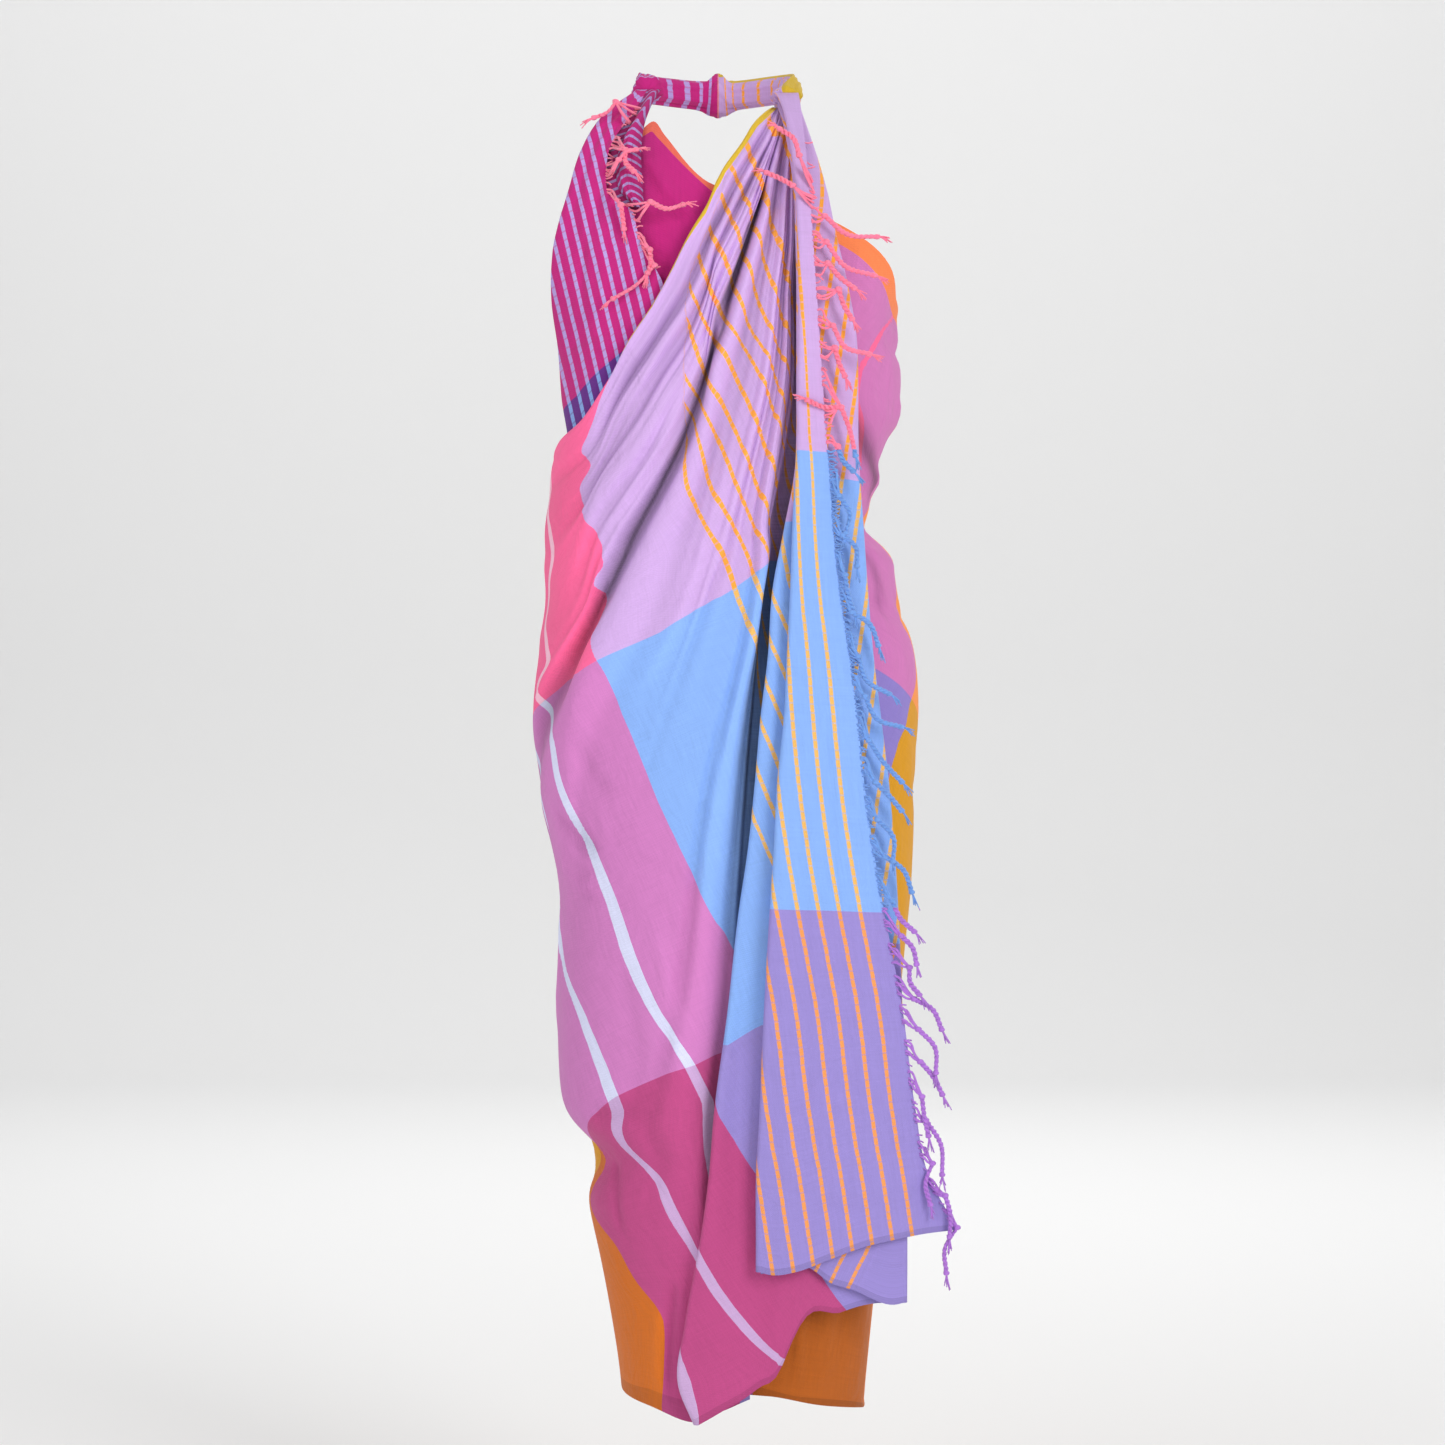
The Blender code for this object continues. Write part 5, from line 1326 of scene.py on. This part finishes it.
def tube(points, radii, sides, faces, vertices):
    """Adds a closed tube along points to lists of vertices and faces."""
    points = np.asarray(points)
    ahead = np.gradient(points, axis=0)
    ahead = ahead / np.maximum(np.linalg.norm(ahead, axis=1), 1e-9)[:, None]
    wide = np.cross(ahead, OFF_YARN)
    wide = wide / np.linalg.norm(wide, axis=1)[:, None]
    tall = np.cross(wide, ahead)
    angle = np.linspace(0, 2 * math.pi, sides, endpoint=False)
    rings = points[:, None] + np.asarray(radii)[:, None, None] * (
        wide[:, None] * np.cos(angle)[None, :, None] + tall[:, None] * np.sin(angle)[None, :, None])
    first = len(vertices)
    vertices.extend(rings.reshape(-1, 3).tolist())
    for ring in range(len(points) - 1):
        for side in range(sides):
            a = first + ring * sides + side
            b = first + ring * sides + (side + 1) % sides
            faces.append((a, b, b + sides, a + sides))
    end = first + (len(points) - 1) * sides
    faces.append(tuple(range(first, first + sides))[::-1])
    faces.append(tuple(range(end, end + sides)))


def twisted(path, places, radius, turns_from, faces, vertices):
    """Two strands laid round each other along a path."""
    reached = run_along(path(places))
    for start in (0, math.pi):
        angle = start + turns_from + 2 * math.pi * reached / TWIST_LENGTH
        flat = TWIST_FLAT * np.cos(angle)
        side = np.stack([flat, np.sin(angle), flat], axis=-1)
        radii = np.full(len(places), radius)
        tube(path(places) + side * TWIST_RADIUS, radii, TASSEL_SIDES, faces, vertices)


def knot(middle, radius, faces, vertices):
    """A small tight knot."""
    turn = np.linspace(0, KNOT_TURNS * 2 * math.pi, TASSEL_STEPS)
    loop = np.stack([np.cos(turn), np.sin(turn), 0.5 * np.sin(turn / 2)], axis=-1) * KNOT_LOOP
    radii = np.full(len(turn), KNOT_YARN * radius)
    tube(middle + loop * radius, radii, TASSEL_SIDES, faces, vertices)


def make_fringe(name, grid, tassels, front_of, lean, slot_name, draw, frayed):
    """Knotted tassels down a cloth's right edge, with short frayed ends between them."""
    edge = grid[:, -1]
    inside = grid[:, -3]
    vertices, faces = [], []

    def root_at(height, inward=0.0):
        point, inner = [np.array([np.interp(-height, -edge[:, 2], line[:, axis]) for axis in range(3)])
                        for line in (edge, inside)]
        return point + (inner - point) * inward

    def in_front(place):
        place = np.array(place)
        place[1] = min(place[1], front_of(place[0], place[2]) - FRINGE_CLEAR)
        return place

    def yarn(knots, points, radii, sides):
        places = np.linspace(0, 1, len(radii))
        tube(curve(knots, points)(places), radii, sides, faces, vertices)

    for row in tassels:
        height, knot_x, knot_z, tip_x, tip_z = [value * MM for value in row]
        root = root_at(height)
        knot_place = in_front(root + np.array([knot_x, -lean, knot_z]))
        tip = in_front(root + np.array([tip_x, -lean, tip_z]))
        side = np.array([-(tip - knot_place)[2], 0, (tip - knot_place)[0]])
        middle = in_front((knot_place + tip) / 2 + side * draw.uniform(-0.22, 0.22))
        for strand in range(ROOT_STRANDS):
            apart = (strand / (ROOT_STRANDS - 1) - 0.5 + draw.uniform(-0.2, 0.2)) * ROOT_WIDTH
            start = root_at(height + apart, ROOT_INSIDE)
            out = start + np.array([draw.uniform(2, 6), -1.5, draw.uniform(-3, 1)]) * MM
            sag = (out + knot_place) / 2 + np.array([draw.uniform(-1, 1), 0, -1.5]) * MM
            yarn([0, 0.25, 0.65, 1], [start, out, in_front(sag), knot_place],
                 np.full(STRAND_STEPS, STRAND_RADIUS), STRAND_SIDES)
        knot(knot_place, KNOT_RADIUS, faces, vertices)
        path = curve([0, 0.5, 1], [knot_place, middle, tip])
        twisted(path, np.linspace(0, 1, TASSEL_STEPS), STRAND_RADIUS * 1.25, draw.uniform(0, 6),
                faces, vertices)
        knot(tip, KNOT_RADIUS * 0.9, faces, vertices)
        way = (tip - middle) / np.linalg.norm(tip - middle)
        for _ in range(FIBRES):
            fan_out = np.array([draw.uniform(-1, 1), draw.uniform(-0.5, 0.5), draw.uniform(-1, 1)])
            length = draw.uniform(8, 13) * MM
            end = tip + way * length + fan_out * 3.2 * MM + np.array([0, 0, -2 * MM])
            bend = tip + way * length * 0.5 + fan_out * 1.0 * MM
            yarn([0, 0.5, 1], [tip, bend, end], np.linspace(1.1, 0.7, FIBRE_STEPS) * FIBRE_RADIUS,
                 FIBRE_SIDES)
    for top, low, count, reach in frayed:
        for index in range(count):
            height = (top + (low - top) * (index + draw.uniform(0, 1)) / count) * MM
            start = root_at(height, ROOT_INSIDE)
            end = start + np.array([draw.uniform(0.5, 1) * reach, draw.uniform(-4, 1),
                                    draw.uniform(-0.6, 0.35) * reach]) * MM
            bend = (start + end) / 2 + np.array([0, -1, draw.uniform(-1, 1.5)]) * MM
            yarn([0, 0.5, 1], [start, bend, end], np.full(FIBRE_STEPS, FIBRE_RADIUS * 1.1),
                 FIBRE_SIDES)
    made = new_mesh(name + "_yarn", vertices, faces)
    finish(made, slot_name, name)


def make_tail():
    """The pleat, the strips and the fringe of the hanging end."""
    grid = make_strips()

    def front_of(x, height):
        return float(strip_depth(x, height, 2))

    make_fringe("tail_fringe", grid, TAIL_TASSELS, front_of, 2 * MM, "tail_yarn",
                np.random.default_rng(11), FRAYED_TAIL)


def make_lapel_and_fringe():
    """The lapel, the roll and the fringe of the inner end."""
    grid = make_lapel()
    make_roll()

    def front_of(x, height):
        lift = LAPEL_LIFT + LAPEL_RIPPLE if height < ROLL_FOOT else ROLL_LIFT + ROLL_CREST
        return float(on_figure(turn_at(x, height, lift), height, lift)[1])

    make_fringe("lapel_fringe", grid, LAPEL_TASSELS, front_of, 4 * MM, "lapel_yarn",
                np.random.default_rng(5), FRAYED_LAPEL)


def add_node(tree, kind, inputs=None, out=0, stops=(), **settings):
    """Adds a node, sets or joins its inputs, and returns one of its outputs."""
    node = tree.nodes.new(kind)
    for name, value in settings.items():
        setattr(node, name, value)
    for index, (place, colour) in enumerate(stops):
        ramp = node.color_ramp
        ramp.interpolation = "CONSTANT"
        stop = ramp.elements[index] if index < len(ramp.elements) else ramp.elements.new(place)
        stop.position = place
        stop.color = colour
    for key, value in (inputs or {}).items():
        if isinstance(value, bpy.types.NodeSocket):
            tree.links.new(value, node.inputs[key])
        else:
            node.inputs[key].default_value = value
    return node.outputs[out]


def matt_material(name, roughness, specular):
    """A matt material, its tree and its Principled shader."""
    made = bpy.data.materials.new(name)
    made.use_nodes = True
    shader = made.node_tree.nodes["Principled BSDF"]
    shader.inputs["Roughness"].default_value = roughness
    shader.inputs["Specular IOR Level"].default_value = specular
    return made, made.node_tree, shader


def cotton(name, roughness, sheen):
    """Matt cotton with a faint sheen of loose fibres, its tree and its shader."""
    made, tree, shader = matt_material(name, roughness, COTTON_SPECULAR)
    shader.inputs["Sheen Weight"].default_value = sheen
    shader.inputs["Sheen Roughness"].default_value = SHEEN_ROUGHNESS
    return made, tree, shader


def calculate(tree, operation, *values):
    """A maths node on up to three values."""
    return add_node(tree, "ShaderNodeMath", dict(enumerate(values)), operation=operation)


def mix(tree, share, first, second):
    """A mix of two colours."""
    return add_node(tree, "ShaderNodeMix", {0: share, 6: first, 7: second}, 2, data_type="RGBA")


def cloth_noise(tree, cloth_map, scale, detail, distortion=0.0):
    """Noise on the cloth's map, stretched along or across the cloth."""
    stretched = add_node(tree, "ShaderNodeMapping", {0: cloth_map, 3: scale})
    return add_node(tree, "ShaderNodeTexNoise", {"Vector": stretched, "Scale": 1.0, "Detail": detail,
                                                 "Distortion": distortion})


def colour_bands(tree, share, starts, colours):
    """A ramp of plain bands from their starts and hex colours."""
    stops = [(start, to_linear(colour)) for start, colour in zip(starts, colours)]
    return add_node(tree, "ShaderNodeValToRGB", {0: share}, stops=stops)


def by_warp(tree, masks, colours):
    """The colour of one weft on the pink, the blue or the purple warp."""
    blue, purple = masks
    return mix(tree, purple, mix(tree, blue, colours[0], colours[1]), colours[2])


def handwoven_plaid(name):
    """Handwoven cotton plaid, piece-dyed yarns in a plain weave: matt, slightly slubbed cloth whose
    colours are the crossings of its warp and weft bands, with narrow supplementary stripes.
    """
    sizes = bpy.context.scene.sarong_cloth
    made, tree, shader = cotton(name, PLAID_ROUGHNESS, PLAID_SHEEN)
    cloth_map = add_node(tree, "ShaderNodeUVMap", uv_map="cloth")
    # Handlooms beat the weft unevenly, so its lines wander by about half a millimetre
    wander = cloth_noise(tree, cloth_map, WANDER_SCALE, 2.0)
    wander = calculate(tree, "MULTIPLY_ADD", wander, WANDER, -WANDER / 2)
    split = add_node(tree, "ShaderNodeSeparateXYZ", {0: cloth_map}).node
    across = split.outputs[1]
    along = calculate(tree, "ADD", split.outputs[0], wander)
    masks = [calculate(tree, "GREATER_THAN", across, end) for end in (PINK_END, BLUE_END)]
    share = calculate(tree, "DIVIDE", along, RAMP_LENGTH)
    starts = [0.0] + [row[0] / RAMP_LENGTH for row in WEFT_BANDS[:-1]]
    ramps = [colour_bands(tree, share, starts, [row[warp] for row in WEFT_BANDS])
             for warp in (1, 2, 3)]
    colour = by_warp(tree, masks, ramps)
    # The dashes of some stripes are a thicker yarn that the warp holds down every few threads
    beat = calculate(tree, "FLOORED_MODULO", across, DASH_LENGTH)
    held_down = calculate(tree, "LESS_THAN", beat, DASH_HELD * DASH_LENGTH)
    for stripes in (LILAC_STRIPES, ROSE_STRIPE, PALE_STRIPES, ORANGE_STRIPES):
        first, last, spacing, width, *tones = stripes
        shifted = calculate(tree, "ADD", along, width / 2 - first)
        place = calculate(tree, "FLOORED_MODULO", shifted, spacing)
        inside = calculate(tree, "LESS_THAN", place, width)
        for operation, limit in (("GREATER_THAN", 0.0), ("LESS_THAN", last - first + width)):
            within = calculate(tree, operation, shifted, limit)
            inside = calculate(tree, "MULTIPLY", inside, within)
        if stripes in (ORANGE_STRIPES, LILAC_STRIPES):
            thin = calculate(tree, "MULTIPLY_ADD", held_down, -DASH_FADE, 1.0)
            inside = calculate(tree, "MULTIPLY", inside, thin)
        tone = by_warp(tree, masks, [to_linear(one) for one in tones])
        colour = mix(tree, inside, colour, tone)
    border = colour_bands(tree, share, starts, BORDER_COLOURS)
    at_border = calculate(tree, "LESS_THAN", across, BORDER_WIDTH)
    colour = mix(tree, at_border, colour, border)
    # The last ends of the warp stand closer together and read as a faintly darker edge
    at_hem = calculate(tree, "GREATER_THAN", across, WIDTH - HEM_BAND)
    tone = calculate(tree, "MULTIPLY_ADD", at_hem, -HEM_DARKER, 1.0)
    # Slubs: long thin streaks of thicker yarn along the warp and along the weft
    for scale in SLUB_SCALES:
        slub = cloth_noise(tree, cloth_map, scale, 3.0)
        slub = calculate(tree, "MULTIPLY_ADD", slub, sizes.slub_strength, -sizes.slub_strength / 2)
        tone = calculate(tree, "ADD", tone, slub)
    # Plain weave. Its true pitch of 0.5 mm is too fine to show, so it is drawn coarser
    turns = 2 * math.pi / sizes.thread_pitch
    waves = [calculate(tree, "SINE", calculate(tree, "MULTIPLY", place, turns))
             for place in (along, across)]
    weave = calculate(tree, "MULTIPLY", *waves)
    tone = calculate(tree, "ADD", tone, calculate(tree, "MULTIPLY", weave, WEAVE_SHADE))
    # Painted shade: a value per point from each piece darkens its deep folds and shadows, and lightens
    # its ridges where it is below nought
    hollow = add_node(tree, "ShaderNodeAttribute", out=2, attribute_name="hollow")
    tone = calculate(tree, "SUBTRACT", tone, hollow)
    colour = add_node(tree, "ShaderNodeVectorMath", {0: colour, "Scale": tone}, operation="SCALE")
    tree.links.new(colour, shader.inputs["Base Color"])
    # Worn cotton keeps small soft wrinkles, some centimetres across
    wrinkles = cloth_noise(tree, cloth_map, WRINKLE_SCALE, 3.0, WRINKLE_DISTORTION)
    wrinkles = add_node(tree, "ShaderNodeBump", {"Height": wrinkles, "Strength": WRINKLES,
                                                 "Distance": WRINKLE_HEIGHT})
    bump = add_node(tree, "ShaderNodeBump", {"Height": weave, "Strength": WEAVE_BUMP,
                                             "Normal": wrinkles, "Distance": WEAVE_HEIGHT})
    tree.links.new(bump, shader.inputs["Normal"])
    return made


def twisted_yarn(name, bands):
    """Soft two-ply cotton yarn, hand-knotted: matt and slightly fuzzy, in the colour of the warp
    band that it grows from.
    """
    made, tree, shader = cotton(name, YARN_ROUGHNESS, YARN_SHEEN)
    place = add_node(tree, "ShaderNodeTexCoord", out=3)
    height = add_node(tree, "ShaderNodeSeparateXYZ", {0: place}, 2)
    share = add_node(tree, "ShaderNodeMapRange", {0: height, 1: YARN_LOW, 2: YARN_HIGH})
    tones = add_node(tree, "ShaderNodeValToRGB", {0: share}, stops=bands)
    fuzz = add_node(tree, "ShaderNodeTexNoise", {"Vector": place, "Scale": FUZZ_SCALE, "Detail": 2.0})
    tone = calculate(tree, "MULTIPLY_ADD", fuzz, FUZZ_RANGE, FUZZ_LEAST)
    colour = add_node(tree, "ShaderNodeVectorMath", {0: tones, "Scale": tone}, operation="SCALE")
    tree.links.new(colour, shader.inputs["Base Color"])
    return made


def finish_material(slot_name):
    """The material of a slot, made once."""
    name = FINISHES[slot_name]
    found = bpy.data.materials.get(name)
    if found:
        return found
    sizes = bpy.context.scene.sarong_cloth
    yarns = (sizes.pink_yarn, sizes.blue_yarn, sizes.purple_yarn)
    pink, blue, purple = [(*tone, 1.0) for tone in yarns]
    if slot_name == "tail_yarn":
        low, high = [(z * MM - YARN_LOW) / (YARN_HIGH - YARN_LOW) for z in YARN_CHANGES]
        return twisted_yarn(name, ((0.0, purple), (low, blue), (high, pink)))
    if slot_name == "lapel_yarn":
        return twisted_yarn(name, ((0.0, pink), (1.0, pink)))
    return handwoven_plaid(name)


def make_backdrop(settings):
    """A pale floor of matt seamless card that curves up into a wall behind."""
    profile = [(SWEEP_FRONT, FLOOR)]
    for angle in np.linspace(0, math.pi / 2, SWEEP_STEPS):
        profile.append((SWEEP_BACK + SWEEP_RADIUS * math.sin(angle),
                        FLOOR + SWEEP_RADIUS * (1 - math.cos(angle))))
    profile.append((SWEEP_BACK + SWEEP_RADIUS, SWEEP_TOP))
    points = [(x, y, z) for y, z in profile for x in (-SWEEP_HALF_WIDTH, SWEEP_HALF_WIDTH)]
    faces = [(2 * i, 2 * i + 1, 2 * i + 3, 2 * i + 2) for i in range(len(profile) - 1)]
    card, _, shader = matt_material("matt backdrop card", CARD_ROUGHNESS, CARD_SPECULAR)
    shader.inputs["Base Color"].default_value = (*settings.backdrop_colour, 1.0)
    made = new_mesh("backdrop", points, faces)
    made.data.materials.append(card)


def make_light(name, place, target, size, power):
    """A large soft area light aimed at a point."""
    data = bpy.data.lights.new(name, "AREA")
    data.shape = "RECTANGLE"
    data.size, data.size_y = size
    data.energy = power
    made = bpy.data.objects.new(name, data)
    made.location = place
    away = Vector(place) - Vector(target)
    made.rotation_euler = away.to_track_quat("Z", "Y").to_euler()
    bpy.context.scene.collection.objects.link(made)


def make_camera():
    """Level camera straight in front, three metres away, as the photo was taken."""
    data = bpy.data.cameras.new("camera")
    data.sensor_width = SENSOR
    data.lens = CAMERA_LENS
    made = bpy.data.objects.new("camera", data)
    made.location = CAMERA_PLACE
    made.rotation_euler = (math.pi / 2, 0, 0)
    bpy.context.scene.collection.objects.link(made)
    bpy.context.scene.camera = made


def colour_setting(name, description, hex_colour):
    """A colour in the sidebar."""
    return bpy.props.FloatVectorProperty(name=name, description=description, subtype="COLOR",
                                         default=to_linear(hex_colour)[:3], min=0.0, max=1.0)


def power_setting(name, description, power):
    """A light's power in the sidebar."""
    return bpy.props.FloatProperty(name=name, description=description, default=power, min=0.0,
                                   unit="POWER")


class SarongCloth(bpy.types.PropertyGroup):
    """Sizes and colours of the cloth and its yarn."""

    cloth_thickness: bpy.props.FloatProperty(
        name="Cloth thickness", description="Thickness of the shown cloth",
        default=0.0009, min=0.0003, max=0.003, unit="LENGTH", precision=5)
    thread_pitch: bpy.props.FloatProperty(
        name="Thread pitch", description="Distance between drawn threads",
        default=0.0021, min=0.0005, max=0.01, unit="LENGTH", precision=5)
    slub_strength: bpy.props.FloatProperty(
        name="Slubs", description="How strongly uneven yarn shows in the weave",
        default=0.20, min=0.0, max=1.0)
    pink_yarn: colour_setting("Pink yarn", "Colour of the fringe on the pink warp", "#FF7FA0")
    blue_yarn: colour_setting("Blue yarn", "Colour of the fringe on the blue warp", "#6E9CE2")
    purple_yarn: colour_setting("Purple yarn", "Colour of the fringe on the purple warp", "#B274D6")


class SarongStage(bpy.types.PropertyGroup):
    """Backdrop and lights."""

    backdrop_colour: colour_setting("Backdrop", "Colour of the backdrop", "#ECECEC")
    key_power: power_setting("Key light", "Power of the large light at the front right", KEY_POWER)
    fill_power: power_setting("Fill light", "Power of the soft light at the front left", FILL_POWER)
    backdrop_power: power_setting("Backdrop light", "Power of the wide light on the backdrop",
                                  BACKDROP_POWER)
    world_strength: bpy.props.FloatProperty(
        name="Room light", description="Strength of the even light from all sides",
        default=WORLD_STRENGTH, min=0.0)


class SARONG_OT_wrap(bpy.types.Operator):
    """Makes the inner layer: the chest, the right side and the back."""

    bl_idname = "sarong.wrap"
    bl_label = "Inner wrap"

    def execute(self, context):
        """Makes the three stretches."""
        make_under_front()
        make_right_side()
        make_back()
        return {"FINISHED"}


class SARONG_OT_outer_panel(bpy.types.Operator):
    """Makes the outer layer, from the left of the back to the deep pleat."""

    bl_idname = "sarong.outer_panel"
    bl_label = "Outer panel"

    def execute(self, context):
        """Makes the panel."""
        make_main_panel()
        return {"FINISHED"}


class SARONG_OT_tail(bpy.types.Operator):
    """Makes the pleat and the hanging outer end with its fringe."""

    bl_idname = "sarong.tail"
    bl_label = "Hanging end"

    def execute(self, context):
        """Makes the three strips and the fringe."""
        make_tail()
        return {"FINISHED"}


class SARONG_OT_lapel(bpy.types.Operator):
    """Makes the folded-back inner end, the roll beside it and their fringe."""

    bl_idname = "sarong.lapel"
    bl_label = "Lapel"

    def execute(self, context):
        """Makes the lapel, the roll and the fringe."""
        make_lapel_and_fringe()
        return {"FINISHED"}


class SARONG_OT_neck_tie(bpy.types.Operator):
    """Makes the gathered corners tied behind the neck."""

    bl_idname = "sarong.neck_tie"
    bl_label = "Neck tie"

    def execute(self, context):
        """Makes the tie."""
        make_neck_tie()
        return {"FINISHED"}


class SARONG_OT_stage(bpy.types.Operator):
    """Makes the backdrop, the lights and the camera."""

    bl_idname = "sarong.stage"
    bl_label = "Stage"

    def execute(self, context):
        """Makes the stage."""
        settings = context.scene.sarong_stage
        make_backdrop(settings)
        for name, place, target, size, power in LIGHTS:
            make_light(name, place, target, size, getattr(settings, power))
        world = context.scene.world or bpy.data.worlds.new("room")
        context.scene.world = world
        world.use_nodes = True
        background = world.node_tree.nodes["Background"]
        background.inputs["Color"].default_value = (1, 1, 1, 1)
        background.inputs["Strength"].default_value = settings.world_strength
        context.scene.view_settings.view_transform = "Standard"
        make_camera()
        return {"FINISHED"}


class SARONG_PT_sidebar(bpy.types.Panel):
    """Lists the sizes, the colours and the operators."""

    bl_idname = "SARONG_PT_sidebar"
    bl_label = "Longyi Sarong"
    bl_space_type = "VIEW_3D"
    bl_region_type = "UI"
    bl_category = "Sarong"

    def draw(self, context):
        """Draws the panel."""
        for group in (context.scene.sarong_cloth, context.scene.sarong_stage):
            for name in group.bl_rna.properties.keys():
                if name not in ("rna_type", "name"):
                    self.layout.prop(group, name)
        for operator in OPERATORS:
            self.layout.operator(operator.bl_idname)


OPERATORS = (SARONG_OT_wrap, SARONG_OT_outer_panel, SARONG_OT_tail, SARONG_OT_lapel,
             SARONG_OT_neck_tie, SARONG_OT_stage)
CLASSES = (SarongCloth, SarongStage, *OPERATORS, SARONG_PT_sidebar)


def register():
    """Registers every class and the two groups of settings."""
    for one in CLASSES:
        bpy.utils.register_class(one)
    bpy.types.Scene.sarong_cloth = bpy.props.PointerProperty(type=SarongCloth)
    bpy.types.Scene.sarong_stage = bpy.props.PointerProperty(type=SarongStage)


def unregister():
    """Takes everything away again."""
    del bpy.types.Scene.sarong_stage
    del bpy.types.Scene.sarong_cloth
    for one in reversed(CLASSES):
        bpy.utils.unregister_class(one)


def main():
    """Makes every piece and the stage."""
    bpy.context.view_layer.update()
    register()
    bpy.ops.object.select_all(action="DESELECT")
    for operator in OPERATORS:
        group, name = operator.bl_idname.split(".")
        getattr(getattr(bpy.ops, group), name)()


if __name__ == "__main__":
    main()
